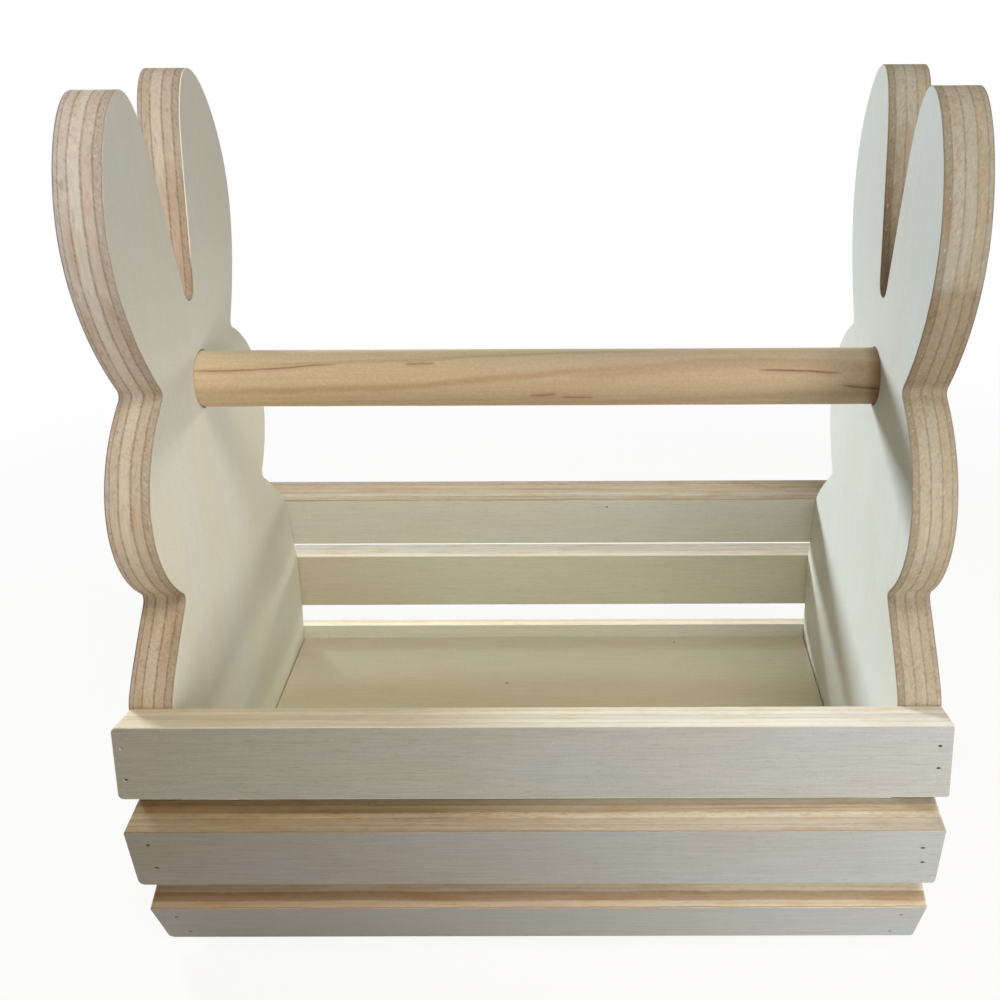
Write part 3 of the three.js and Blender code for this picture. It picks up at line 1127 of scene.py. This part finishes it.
class OutlinePen:
    """Draws a line across the caddy, (across, up), as close points.

    Attributes:
        FEWEST: Least number of points on a bend.
    """

    FEWEST = 4

    def __init__(self, start: Vector, step: float) -> None:
        """Set the pen down.

        Args:
            start: First point.
            step: Distance between points on a bend.
        """
        self.points = [start.copy()]
        self.step = step

    def line_to(self, end: Vector) -> None:
        """Draw a straight line."""
        self.points.append(end.copy())

    def bend_to(self, corner: Vector, end: Vector, fullness: float) -> None:
        """Draw a bend that leaves and arrives in the direction of a corner.

        Args:
            corner: Corner that the bend cuts.
            end: End of the bend.
            fullness: How far the bend is pulled towards the corner.
        """
        start = self.points[-1]
        count = max(self.FEWEST, round(((corner - start).length + (end - corner).length) / self.step))
        pulls = (start, start.lerp(corner, fullness), end.lerp(corner, fullness), end)
        curve = interpolate_bezier(*(point.to_3d() for point in pulls), count)
        self.points.extend(point.to_2d() for point in curve[1:])

    def arc_to(self, centre: Vector, radii: Vector, first: float, last: float) -> None:
        """Draw part of an ellipse.

        Args:
            centre: Middle of the ellipse.
            radii: Half its width and half its height.
            first: Angle at its start.
            last: Angle at its end.
        """
        count = max(self.FEWEST, round(abs(last - first) * max(radii) / self.step))
        for index in range(1, count + 1):
            angle = first + (last - first) * index / count
            self.points.append(centre + Vector((radii.x * math.cos(angle), radii.y * math.sin(angle))))


# Pieces


@dataclass
class SlatPlan:
    """Where a slat is seated, on the rear side.

    Attributes:
        seat: Middle of its seat on the panels, (across, up).
        lean: How far its outer face turns downwards.
        width: Width of the slat.
        thickness: Thickness of the slat.
        glue: Film of glue between slat and panel.
    """

    seat: Vector
    lean: float
    width: float = 25.0 * MM
    thickness: float = SHEET_THICKNESS
    glue: float = 0.3 * MM

    @property
    def outwards(self) -> Vector:
        """Direction out of the slat's outer face, (across, up)."""
        return Vector((math.cos(self.lean), -math.sin(self.lean)))

    @property
    def upwards(self) -> Vector:
        """Direction up the slat's width, (across, up)."""
        return Vector((math.sin(self.lean), math.cos(self.lean)))

    def seat_end(self, direction: int) -> Vector:
        """Lower (-1) or upper (1) end of the seat, (across, up)."""
        return self.seat + self.upwards * (direction * self.width / 2)

    def place(self) -> Matrix:
        """Matrix that brings a slat made along X, with its outer face at +Y, to its seat."""
        middle = self.seat + self.outwards * (self.glue + self.thickness / 2)
        return Matrix.Translation((0.0, middle.x, middle.y)) @ Matrix.Rotation(-self.lean, 4, "X")


SLAT_PLANS = {
    Level.TOP: SlatPlan(Vector((78.6, 85.2)) * MM, math.radians(-11.5)),
    Level.MIDDLE: SlatPlan(Vector((81.7, 52.9)) * MM, math.radians(5.5)),
    Level.BOTTOM: SlatPlan(Vector((73.8, 19.0)) * MM, math.radians(21.8)),
}


@dataclass
class EndPanel:
    """Plywood end panel with the outline of a rabbit, seen from behind.

    Attributes:
        end: End of the caddy.
        plans: Seats of the slats, which shape the body.
        foot_half: Half the width of the foot.
        shoulder_rise: Height of the shoulder's corner above the top seat.
        neck: Corner between shoulder and head, (across, up).
        neck_fillet: Length of the bend on either side of the neck.
        head_half: Half the width of the head.
        ear_root: Corner between head and ear, (across, up).
        ear_root_fillet: Length of the bend on either side of the ear's root.
        ear_half: Distance from the middle to an ear's outer side.
        ear_height: Height of the ears above their roots.
        ear_cheek_height: Height above the root of the corner that the outer bend cuts.
        ear_widest_height: Height above the root at which an ear is widest.
        ear_tip_half: Distance from the middle to an ear's tip.
        ear_tip_rounding: Length of the bend from the tip into the notch.
        notch_depth: Depth of the notch below the tips.
        notch_mouth_half: Half the width of the notch at its mouth.
        notch_floor_half: Half the width of the notch at its floor.
        notch_fillet: Length of the bend into the notch's floor.
        soft_bend: Fullness of most bends.
        tip_bend: Fullness of the bend at an ear's tip.
        step: Distance between the points of a bend.
        socket_slack: Gap round the rail in its socket.
        socket_sides: Facets round the socket.
        weld: Distance at which mirrored points merge.
    """

    end: End
    plans: dict[Level, SlatPlan]
    foot_half: float = 60.0 * MM
    shoulder_rise: float = 4.8 * MM
    neck: Vector = field(default_factory=lambda: Vector((48.3, 123.5)) * MM)
    neck_fillet: float = 4.0 * MM
    head_half: float = 65.2 * MM
    ear_root: Vector = field(default_factory=lambda: Vector((37.0, 191.5)) * MM)
    ear_root_fillet: float = 3.0 * MM
    ear_half: float = 57.8 * MM
    ear_height: float = 92.8 * MM
    ear_cheek_height: float = 27.5 * MM
    ear_widest_height: float = 50.5 * MM
    ear_tip_half: float = 31.0 * MM
    ear_tip_rounding: float = 29.0 * MM
    notch_depth: float = 72.0 * MM
    notch_mouth_half: float = 19.5 * MM
    notch_floor_half: float = 4.0 * MM
    notch_fillet: float = 5.0 * MM
    soft_bend: float = 2 / 3
    tip_bend: float = 0.47
    step: float = 0.9 * MM
    socket_slack: float = 0.3 * MM
    socket_sides: int = 96
    weld: float = 0.001 * MM

    @property
    def node(self) -> str:
        """CAD node of the panel."""
        return f"end_panel_{self.end.value}"

    def half_outline(self) -> list[Vector]:
        """Draw one half of the outline.

        Returns:
            Points from the middle of the foot up to the bottom of the notch, (across, up).
        """
        pen = OutlinePen(Vector((0.0, 0.0)), self.step)
        pen.line_to(Vector((self.foot_half, 0.0)))
        for level in (Level.BOTTOM, Level.MIDDLE, Level.TOP):
            for direction in (-1, 1):
                pen.line_to(self.plans[level].seat_end(direction))
        self._draw_head(pen)
        self._draw_ear(pen)
        return pen.points

    def _draw_head(self, pen: OutlinePen) -> None:
        """Draw the shoulder, the neck and the side of the head.

        Args:
            pen: Pen at the top of the uppermost seat.
        """
        top = self.plans[Level.TOP]
        shoulder = top.seat_end(1) + top.upwards * self.shoulder_rise
        to_neck = (self.neck - shoulder).normalized()
        first = -math.acos(self.neck.x / self.head_half)
        last = math.acos(self.ear_root.x / self.head_half)
        half_height = (self.ear_root.y - self.neck.y) / (math.sin(last) - math.sin(first))
        centre = Vector((0.0, self.neck.y - half_height * math.sin(first)))
        radii = Vector((self.head_half, half_height))
        first += self.neck_fillet / math.hypot(radii.x * math.sin(first), radii.y * math.cos(first))
        last -= self.ear_root_fillet / math.hypot(radii.x * math.sin(last), radii.y * math.cos(last))
        cheek = centre + Vector((radii.x * math.cos(first), radii.y * math.sin(first)))
        pen.bend_to(shoulder, self.neck - to_neck * self.neck_fillet, self.soft_bend)
        pen.bend_to(self.neck, cheek, self.soft_bend)
        pen.arc_to(centre, radii, first, last)

    def _draw_ear(self, pen: OutlinePen) -> None:
        """Draw the ear, from its root over its tip to the bottom of the notch.

        Args:
            pen: Pen at the top of the head.
        """
        root = self.ear_root
        cheek = Vector((self.ear_half, root.y + self.ear_cheek_height))
        widest = Vector((self.ear_half, root.y + self.ear_widest_height))
        tip = Vector((self.ear_tip_half, root.y + self.ear_height))
        mouth = Vector((self.notch_mouth_half, tip.y))
        floor = Vector((self.notch_floor_half, tip.y - self.notch_depth))
        down = (floor - mouth).normalized()
        pen.bend_to(root, root + (cheek - root).normalized() * self.ear_root_fillet, self.soft_bend)
        pen.bend_to(cheek, widest, self.soft_bend)
        pen.bend_to(Vector((self.ear_half, tip.y)), tip, self.tip_bend)
        pen.bend_to(mouth, mouth + down * self.ear_tip_rounding, self.soft_bend)
        pen.line_to(floor - down * self.notch_fillet)
        pen.bend_to(floor, Vector((0.0, floor.y)), self.soft_bend)

    def build(self, finish: PlyFinish) -> None:
        """Model the panel and dress it.

        Args:
            finish: Finish of the sheet.
        """
        low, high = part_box(self.node)
        outwards = self.end.outwards
        blank = self._blank(low.x, high.x - low.x)
        sheet = Sheet(blank, high.x - low.x, outwards, finish.stack, (low + high) / 2)
        sheet.ease_arrises()
        sheet.wear_arrises()
        sheet.score_glue_lines()
        sheet.punch(self._punches(outwards))
        sheet.smooth()
        lay = Lay(sheet.middle, AXIS_Z, outwards)
        put(f"{self.node}_ply", sheet.bm, self.node, finish, lay)

    def _blank(self, left: float, thickness: float) -> BMesh:
        """Panel as it leaves the saw.

        Args:
            left: Place of its left face along X.
            thickness: Thickness of the sheet.

        Returns:
            The mesh.
        """
        bm = bmesh.new()
        corners = [bm.verts.new((left, point.x, point.y)) for point in self.half_outline()]
        for first, second in zip(corners, corners[1:]):
            bm.edges.new((first, second))
        bmesh.ops.mirror(bm, geom=bm.verts[:] + bm.edges[:], axis="Y", merge_dist=self.weld)
        bmesh.ops.contextual_create(bm, geom=bm.edges[:])
        bmesh.ops.solidify(bm, geom=bm.faces[:], thickness=thickness)
        shift = left - min(vert.co.x for vert in bm.verts)
        bmesh.ops.translate(bm, vec=AXIS_X * shift, verts=bm.verts[:])
        bmesh.ops.recalc_face_normals(bm, faces=bm.faces[:])
        return bm

    def _punches(self, outwards: Vector) -> BMesh:
        """Shapes of the rail's socket and of the brad holes.

        Args:
            outwards: Direction out of the panel's outer face.

        Returns:
            A mesh of all the shapes.
        """
        bm = bmesh.new()
        low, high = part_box("handle_dowel")
        radius = (high.z - low.z) / 2 + self.socket_slack
        length = high.x - low.x + 2 * self.socket_slack
        bmesh.ops.create_cone(
            bm, cap_ends=True, segments=self.socket_sides, radius1=radius, radius2=radius, depth=length,
            matrix=Matrix.Translation((low + high) / 2) @ Z_TO_X,
        )
        end = self.end.value
        brads = [f"floor_brad_{end}_{place}" for place in ("front", "middle", "rear")]
        for brad in (*brads, f"handle_brad_{end}"):
            BradPunch().add(bm, brad, outwards, AXIS_Y)
        return bm


@dataclass
class Slat:
    """Plywood slat nailed along one long side.

    Attributes:
        side: Side of the caddy.
        level: Height on that side.
        plan: Seat of the slat.
        corners: Radii of its corners, seen from outside: lower left and right, upper left and right.
        corner_steps: Facets round a corner.
        cuts: Cuts along its length, which carry the wear.
    """

    side: Side
    level: Level
    plan: SlatPlan
    corners: tuple[float, ...] = (2.2 * MM, 1.4 * MM, 0.7 * MM, 0.7 * MM)
    corner_steps: int = 5
    cuts: int = 120

    @property
    def node(self) -> str:
        """CAD node of the slat."""
        return f"{self.side.value}_slat_{self.level.value}"

    def build(self, finish: PlyFinish) -> None:
        """Model the slat and dress it.

        Args:
            finish: Finish of the sheet.
        """
        low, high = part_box(self.node)
        place = self.side.turn @ self.plan.place()
        along = place.to_3x3() @ AXIS_X
        size = Vector((high.x - low.x, self.plan.thickness, self.plan.width))
        sheet = Sheet(self._blank(size), self.plan.thickness, AXIS_Y, finish.stack)
        sheet.ease_arrises()
        runs = running(sheet.bm.edges, AXIS_X, size.x / 2)
        bmesh.ops.subdivide_edges(sheet.bm, edges=runs, cuts=self.cuts, use_grid_fill=True)
        bmesh.ops.recalc_face_normals(sheet.bm, faces=sheet.bm.faces[:])
        sheet.wear_arrises()
        sheet.score_glue_lines()
        sheet.bring(place)
        sheet.punch(self._punches(sheet.through, along))
        sheet.smooth()
        lay = Lay(place.translation, along, -sheet.through)
        put(f"{self.node}_ply", sheet.bm, self.node, finish, lay)

    def _blank(self, size: Vector) -> BMesh:
        """Slat along X at the origin, with its outer face at +Y and its corners rounded.

        Args:
            size: Length, thickness and width.

        Returns:
            The mesh.
        """
        bm = bmesh.new()
        bmesh.ops.create_cube(bm, size=1.0, matrix=Matrix.Diagonal(size).to_4x4())
        quarters = [(leftwards, upwards) for upwards in (-1, 1) for leftwards in (1, -1)]
        for (leftwards, upwards), radius in zip(quarters, self.corners):
            uprights = []
            for edge in running(bm.edges, AXIS_Y, size.y / 2):
                spot = edge.verts[0].co
                if spot.x * leftwards > 0.0 and spot.z * upwards > 0.0:
                    uprights.append(edge)
            round_over(bm, uprights, radius, self.corner_steps)
        return bm

    def _punches(self, outwards: Vector, along: Vector) -> BMesh:
        """Shapes of the brad holes.

        Args:
            outwards: Direction out of the slat's outer face.
            along: Direction along the slat.

        Returns:
            A mesh of one shape for each brad.
        """
        bm = bmesh.new()
        for end in End:
            for level in ("upper", "lower"):
                BradPunch().add(bm, f"{self.node}_brad_{end.value}_{level}", outwards, along)
        return bm


@dataclass
class FloorBoard:
    """Plywood floor with long edges bevelled against the bottom slats.

    Attributes:
        lean: Lean of the bottom slats.
        node: CAD node of the board.
    """

    lean: float
    node: str = "floor_board"

    def build(self, finish: PlyFinish) -> None:
        """Model the board and dress it.

        Args:
            finish: Finish of the sheet.
        """
        low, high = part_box(self.node)
        middle = (low + high) / 2
        size = high - low
        bm = bmesh.new()
        place = Matrix.Translation(middle) @ Matrix.Diagonal(size).to_4x4()
        bmesh.ops.create_cube(bm, size=1.0, matrix=place)
        tuck = size.z * math.tan(self.lean)
        for vert in bm.verts:
            if vert.co.z < middle.z:
                vert.co.y -= math.copysign(tuck, vert.co.y)
        sheet = Sheet(bm, size.z, AXIS_Z, finish.stack, middle)
        sheet.ease_arrises()
        sheet.score_glue_lines()
        bmesh.ops.recalc_face_normals(bm, faces=bm.faces[:])
        sheet.smooth()
        put(f"{self.node}_ply", bm, self.node, finish, Lay(middle, AXIS_X, AXIS_Z))


@dataclass
class HandleRail:
    """Round pine rail between the end panels.

    Attributes:
        node: CAD node of the rail.
        sides: Facets round the rail.
        cuts: Cuts along its length, which carry its unevenness.
        chamfer: Chamfer of its ends.
        chamfer_steps: Facets across a chamfer.
        unevenness: Most that sanding has worn the rail out of round.
        wear_length: Width of a worn place.
        wear_stretch: Width of a worn place as a share of its length.
        sharp: Least angle of a sharp edge.
    """

    node: str = "handle_dowel"
    sides: int = 96
    cuts: int = 60
    chamfer: float = 0.8 * MM
    chamfer_steps: int = 2
    unevenness: float = 0.12 * MM
    wear_length: float = 8.0 * MM
    wear_stretch: float = 0.3
    sharp: float = math.radians(25.0)

    def build(self, finish: PineFinish) -> None:
        """Model the rail and dress it.

        Args:
            finish: Finish of the wood.
        """
        low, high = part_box(self.node)
        middle = (low + high) / 2
        radius = (high.z - low.z) / 2
        bm = bmesh.new()
        bmesh.ops.create_cone(
            bm, cap_ends=True, segments=self.sides, radius1=radius, radius2=radius, depth=high.x - low.x,
            matrix=Matrix.Translation(middle) @ Z_TO_X,
        )
        runs = set(running(bm.edges, AXIS_X, radius))
        rims = [edge for edge in bm.edges if edge not in runs]
        round_over(bm, rims, self.chamfer, self.chamfer_steps)
        runs = running(bm.edges, AXIS_X, radius)
        bmesh.ops.subdivide_edges(bm, edges=runs, cuts=self.cuts, use_grid_fill=True)
        self._wear(bm, middle, radius)
        bmesh.ops.recalc_face_normals(bm, faces=bm.faces[:])
        for face in bm.faces:
            face.smooth = True
        for edge in bm.edges:
            edge.smooth = edge.calc_face_angle(math.pi) < self.sharp
        put(f"{self.node}_pine", bm, self.node, finish, Lay(middle, AXIS_X, AXIS_Z))

    def _wear(self, bm: BMesh, middle: Vector, radius: float) -> None:
        """Wear the rail out of round.

        Args:
            bm: Mesh of the rail.
            middle: Middle of the rail.
            radius: Radius of the rail.
        """
        for vert in bm.verts:
            outwards = Vector((0.0, vert.co.y - middle.y, vert.co.z - middle.z)) / radius
            spot = Vector((vert.co.x * self.wear_stretch, vert.co.y, vert.co.z)) / self.wear_length
            vert.co -= outwards * self.unevenness * (0.5 + 0.5 * noise.noise(spot))


@dataclass
class Brads:
    """Steel brads, which keep their CAD meshes.

    Attributes:
        filled: Beginnings of the names of brads whose heads are smeared over.
    """

    filled: tuple[str, ...] = ("front_slat_bottom", "front_slat_top_brad_left_upper")

    def dress(self, bare: BradFinish, filler: BradFinish) -> None:
        """Give every brad its finish.

        Args:
            bare: Finish of open heads.
            filler: Finish of heads that are smeared over.
        """
        open_head = bare.material("brad_head")
        smeared_head = filler.material("brad_filler")
        names = [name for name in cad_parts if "brad" in name]
        for name in names:
            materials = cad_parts[name].data.materials
            materials.clear()
            materials.append(smeared_head if name.startswith(self.filled) else open_head)
        log.info("brads: %d dressed", len(names))


# Colours of the wood, and places of painted light and shade

LEFT_PANEL_STACK: Stack = (
    Ply(Wood.HAZEL, 0.8, 0.19), Ply(Wood.FAWN, 0.2, 0.24), Ply(Wood.CREAM, 0.15, 0.27),
    Ply(Wood.BLUSH, 0.35, 0.19), Ply(Wood.MAUVE, 0.7, 0.11),
)
RIGHT_PANEL_STACK: Stack = (
    Ply(Wood.UMBER, 0.8, 0.165), Ply(Wood.STRAW, 0.5, 0.25), Ply(Wood.STRAW, 0.4, 0.25),
    Ply(Wood.TAN, 0.4, 0.21), Ply(Wood.DRAB, 0.6, 0.125),
)
BRIGHT_STACK: Stack = (
    Ply(Wood.PALE, 0.2), Ply(Wood.PALE, 0.2), Ply(Wood.GREY, 0.1), Ply(Wood.PALE, 0.3), Ply(Wood.IVORY, 0.3),
)
PALE_STACK: Stack = (Ply(Wood.PALE, 0.2),) * 5
IVORY_STACK: Stack = (
    Ply(Wood.IVORY, 0.2), Ply(Wood.CREAM, 0.3), Ply(Wood.IVORY, 0.2),
    Ply(Wood.IVORY, 0.3), Ply(Wood.IVORY, 0.3),
)
SAND_STACK: Stack = (
    Ply(Wood.SAND, 0.4), Ply(Wood.SAND, 0.3), Ply(Wood.IVORY, 0.6), Ply(Wood.BUFF, 0.3), Ply(Wood.SAND, 0.4),
)
ORANGE_STACK: Stack = (
    Ply(Wood.BUFF, 0.3), Ply(Wood.ORANGE, 0.3), Ply(Wood.IVORY, 0.3),
    Ply(Wood.BUFF, 0.3), Ply(Wood.ROSE, 0.4),
)
CREAM_STACK: Stack = (
    Ply(Wood.ROSE, 0.4), Ply(Wood.CREAM, 0.3), Ply(Wood.CREAM, 0.2),
    Ply(Wood.IVORY, 0.3), Ply(Wood.CREAM, 0.3),
)
OUTER_VENEER: Colour = (0.71, 0.685, 0.59)
INNER_VENEER: Colour = (0.80, 0.76, 0.62)
UNDER_VENEER: Colour = (0.475, 0.465, 0.42)
FLOOR_SPECKS = (Spot(-19.7, 39.4, 0.8), Spot(56.8, 71.9, 0.6))
# Painted shade over the front of the floor, beneath the front slats.
FLOOR_PAINTED_SHADE = (Spot(0.0, -1000.0, 1052.0, 0.985),)
REAR_SPECKS = (Spot(25.2, 8.6, 0.6),)
# Painted shade at the left end of the rear middle slat's inner face.
REAR_PAINTED_SHADE = (Spot(-125.0, 0.0, 110.0, 0.2, 0.8),)
# Painted highlight on the arris of the left panel's rear ear.
REAR_EAR_HIGHLIGHT = Spot(108.0, 60.0, 62.0, 0.9)
# Darkened edges: the spots in the notches are painted shade in the recess, partly saw burn; the spots at the
# left neck and on the left rear ear darken those edges.
LEFT_NOTCH = Spot(84.0, 0.0, 36.0, 0.5, 0.75)
LEFT_NECK = Spot(-38.0, -58.0, 36.0, 0.6, 0.4)
LEFT_REAR_EAR = Spot(116.0, 40.0, 40.0, 0.7, 0.4)
RIGHT_NOTCH = Spot(92.0, 0.0, 44.0, 0.5, 0.6)
# Painted shade beneath the root of the right ear.
RIGHT_EAR_ROOT_SHADE = Spot(69.0, 51.0, 23.0, 0.78, 0.7)
# Painted shade: the panels' inner faces darken towards the ears. Painted light and shade: the left panel's
# edges lighten and the right panel's edges darken towards the ears.
PANEL_FINISHES = {
    End.LEFT: PlyFinish(
        LEFT_PANEL_STACK, 10.0, (0.81, 0.78, 0.67), OUTER_VENEER, 0.35, 0.8,
        painted_highlights=(REAR_EAR_HIGHLIGHT,), burns_and_shades=(LEFT_NOTCH, LEFT_NECK, LEFT_REAR_EAR), lines=1.25, slant=0.7,
        face_painted_shading=(0.70, 0.705, 0.735), edge_painted_shading=(1.07, 1.14, 1.3), painted_shading_reach=(0.0, 115.0),
    ),
    End.RIGHT: PlyFinish(
        RIGHT_PANEL_STACK, 30.0, (0.78, 0.776, 0.705), OUTER_VENEER, 0.35, 0.8,
        burns_and_shades=(RIGHT_NOTCH, RIGHT_EAR_ROOT_SHADE), slant=0.7,
        face_painted_shading=(0.77, 0.77, 0.765), edge_painted_shading=(0.86, 0.89, 0.92), painted_shading_reach=(-10.0, 115.0),
    ),
}
# Painted shade: the front slats' outer faces and top edges darken towards their left ends.
SLAT_FINISHES = {
    (Side.FRONT, Level.TOP): PlyFinish(
        BRIGHT_STACK, 60.0, (0.506, 0.497, 0.468), INNER_VENEER, lines=0.4, rubbed=0.9,
        face_painted_shading=(0.78, 0.74, 0.65), edge_painted_shading=(0.91, 0.85, 0.72), warm=(0.95, 0.91, 0.84),
    ),
    (Side.FRONT, Level.MIDDLE): PlyFinish(
        SAND_STACK, 80.0, (0.497, 0.497, 0.482), INNER_VENEER, lines=0.4,
        face_painted_shading=(0.68, 0.60, 0.54), edge_painted_shading=(0.70, 0.60, 0.46),
    ),
    (Side.FRONT, Level.BOTTOM): PlyFinish(
        ORANGE_STACK, 100.0, (0.517, 0.532, 0.53), INNER_VENEER, lines=0.4,
        face_painted_shading=(0.69, 0.63, 0.575), edge_painted_shading=(0.70, 0.61, 0.53),
    ),
    (Side.REAR, Level.TOP): PlyFinish(
        CREAM_STACK, 120.0, UNDER_VENEER, (0.88, 0.85, 0.75), 0.6, specks=REAR_SPECKS, lines=0.4,
    ),
    (Side.REAR, Level.MIDDLE): PlyFinish(
        PALE_STACK, 140.0, UNDER_VENEER, (0.776, 0.722, 0.57), 0.6, painted_shades=REAR_PAINTED_SHADE, lines=0.1, rubbed=0.9,
    ),
    (Side.REAR, Level.BOTTOM): PlyFinish(
        IVORY_STACK, 160.0, UNDER_VENEER, INNER_VENEER, 0.6, lines=0.1, rubbed=0.9,
    ),
}
FLOOR_FINISH = PlyFinish(
    LEFT_PANEL_STACK, 200.0, UNDER_VENEER, (0.67, 0.61, 0.455), 0.6, specks=FLOOR_SPECKS, painted_shades=FLOOR_PAINTED_SHADE,
)
BARE_BRAD = BradFinish((0.14, 0.115, 0.09), (0.04, 0.032, 0.025), 0.4)
FILLED_BRAD = BradFinish((0.44, 0.41, 0.35), (0.33, 0.295, 0.24), 0.0)
WORN_CORNERS = {(Side.FRONT, Level.TOP): (1.8 * MM, 1.0 * MM, 1.8 * MM, 0.7 * MM)}


# Studio


@dataclass(frozen=True)
class Lamp:
    """Square lamp that points at the caddy.

    Attributes:
        name: Name of the lamp.
        place: Place in metres.
        size: Side in metres.
        power: Power in watts.
        colour: Colour of its light.
    """

    name: str
    place: tuple[float, float, float]
    size: float
    power: float
    colour: Colour

    def hang(self, aim: Vector) -> None:
        """Hang the lamp.

        Args:
            aim: Point that it shines at.
        """
        light = bpy.data.lights.new(self.name, "AREA")
        light.size = self.size
        light.energy = self.power
        light.color = self.colour
        lamp = bpy.data.objects.new(self.name, light)
        bpy.context.scene.collection.objects.link(lamp)
        turn = (aim - Vector(self.place)).to_track_quat("-Z", "Y").to_matrix().to_4x4()
        lamp.matrix_world = Matrix.Translation(self.place) @ turn
        lamp.visible_camera = False


LAMPS = (
    Lamp("window_left", (-1.0, 1.25, 0.45), 0.35, 29.6, (0.88, 0.95, 1.0)),
    Lamp("window_right", (1.2, 1.3, 0.13), 0.35, 6.8, (1.0, 0.93, 0.78)),
    Lamp("front_high", (0.15, -0.45, 0.95), 0.4, 4.8, (1.0, 0.97, 0.89)),
    Lamp("low_fill", (0.34, -0.42, 0.16), 0.25, 1.24, (1.0, 0.985, 0.96)),
)


@dataclass
class Studio:
    """White floor, soft lamps and the camera.

    Attributes:
        image_px: Side of the square picture.
        focal_px: Focal length in pixels.
        axis_px: Pixel that the camera's axis meets.
        sensor: Width of the camera's sensor in millimetres.
        nearest: Distance from which the camera sees.
        camera_at: Place of the camera.
        yaw: Turn of the camera to the right.
        pitch: Tilt of the camera upwards.
        roll: Turn of the camera about its axis.
        aim: Point that the lamps shine at.
        floor_size: Side of the floor.
        floor_drop: Gap between the floor and the caddy's feet.
        sky: Strength of the light from all around.
        sky_colour: Colour of the light from all around.
        paper: Colour of the floor near the caddy.
        table: Colour of the floor further away.
        paper_reach: Distances between which the one turns into the other.
        glow: How white the floor looks near the caddy, and further away.
        glow_reach: Distances between which the one turns into the other.
    """

    image_px: float = 1000.0
    focal_px: float = 1142.4
    axis_px: tuple[float, float] = (592.0, 493.9)
    sensor: float = 36.0
    nearest: float = 0.01
    camera_at: Vector = field(default_factory=lambda: Vector((20.3, -381.5, 323.2)) * MM)
    yaw: float = math.radians(-0.22)
    pitch: float = math.radians(-25.93)
    roll: float = math.radians(-0.31)
    aim: Vector = field(default_factory=lambda: AXIS_Z * 0.12)
    floor_size: float = 8.0
    floor_drop: float = 0.2 * MM
    sky: float = 0.08
    sky_colour: Colour = (1.0, 0.88, 0.68)
    paper: Colour = (0.9, 0.87, 0.79)
    table: Colour = (0.3, 0.3, 0.3)
    paper_reach: Reach = (0.2, 0.6)
    glow: Reach = (0.9, 1.0)
    glow_reach: Reach = (0.22, 0.7)

    def build(self) -> None:
        """Set up camera, floor, sky and lamps."""
        self._camera()
        self._floor()
        self._sky()
        for lamp in LAMPS:
            lamp.hang(self.aim)
        bpy.context.scene.view_settings.view_transform = "Standard"
        log.info("studio: %d lamps", len(LAMPS))

    def _camera(self) -> None:
        """Camera at the photograph's viewing angle."""
        lens = bpy.data.cameras.new("camera")
        lens.sensor_width = self.sensor
        lens.lens = self.focal_px / self.image_px * self.sensor
        lens.shift_x = 0.5 - self.axis_px[0] / self.image_px
        lens.shift_y = self.axis_px[1] / self.image_px - 0.5
        lens.clip_start = self.nearest
        camera = bpy.data.objects.new("camera", lens)
        bpy.context.scene.collection.objects.link(camera)
        turn = Matrix.Rotation(-self.yaw, 4, "Z") @ Matrix.Rotation(math.pi / 2 + self.pitch, 4, "X")
        camera.matrix_world = Matrix.Translation(self.camera_at) @ turn @ Matrix.Rotation(self.roll, 4, "Z")
        bpy.context.scene.camera = camera

    def _floor(self) -> None:
        """White floor that keeps a soft shadow near the caddy and is plain white further away."""
        bm = bmesh.new()
        place = Matrix.Translation((0.0, 0.0, -self.floor_drop))
        bmesh.ops.create_grid(bm, x_segments=1, y_segments=1, size=self.floor_size / 2, matrix=place)
        floor = bpy.data.objects.new("studio_floor", to_mesh("studio_floor", bm))
        bpy.context.scene.collection.objects.link(floor)
        bench = NodeBench(bpy.data.materials.new("studio_floor"))
        spot = bench.add("TexCoord", {}).outputs["Object"]
        distance = bench.add("VectorMath", {0: spot}, operation="LENGTH").outputs["Value"]
        far = bench.ease(distance, Ramp(*self.paper_reach))
        paper = bench.add("BsdfDiffuse", {"Color": bench.mix(far, self.paper, self.table)}).outputs[0]
        white = bench.add("Emission", {}).outputs[0]
        share = bench.times(bench.seen(), bench.ease(distance, Ramp(*self.glow_reach, *self.glow)))
        blend = bench.add("MixShader", {0: share, 1: paper, 2: white}).outputs[0]
        bench.add("OutputMaterial", {"Surface": blend})
        floor.data.materials.append(bench.holder)

    def _sky(self) -> None:
        """White surroundings that light the caddy at a plain level."""
        world = bpy.data.worlds.new("studio")
        bpy.context.scene.world = world
        bench = NodeBench(world)
        dim = bench.add("Background", {"Color": self.sky_colour, "Strength": self.sky}).outputs[0]
        white = bench.add("Background", {"Color": WHITE}).outputs[0]
        blend = bench.add("MixShader", {0: bench.seen(), 1: dim, 2: white}).outputs[0]
        bench.add("OutputWorld", {"Surface": blend})


def main() -> None:
    """Build the caddy and its studio."""
    logging.basicConfig(level=logging.INFO, format="%(name)s: %(message)s")
    for end, finish in PANEL_FINISHES.items():
        EndPanel(end, SLAT_PLANS).build(finish)
    for (side, level), finish in SLAT_FINISHES.items():
        slat = Slat(side, level, SLAT_PLANS[level])
        slat.corners = WORN_CORNERS.get((side, level), slat.corners)
        slat.build(finish)
    FloorBoard(SLAT_PLANS[Level.BOTTOM].lean).build(FLOOR_FINISH)
    HandleRail().build(PineFinish())
    Brads().dress(BARE_BRAD, FILLED_BRAD)
    Studio().build()


if __name__ == "__main__":
    main()
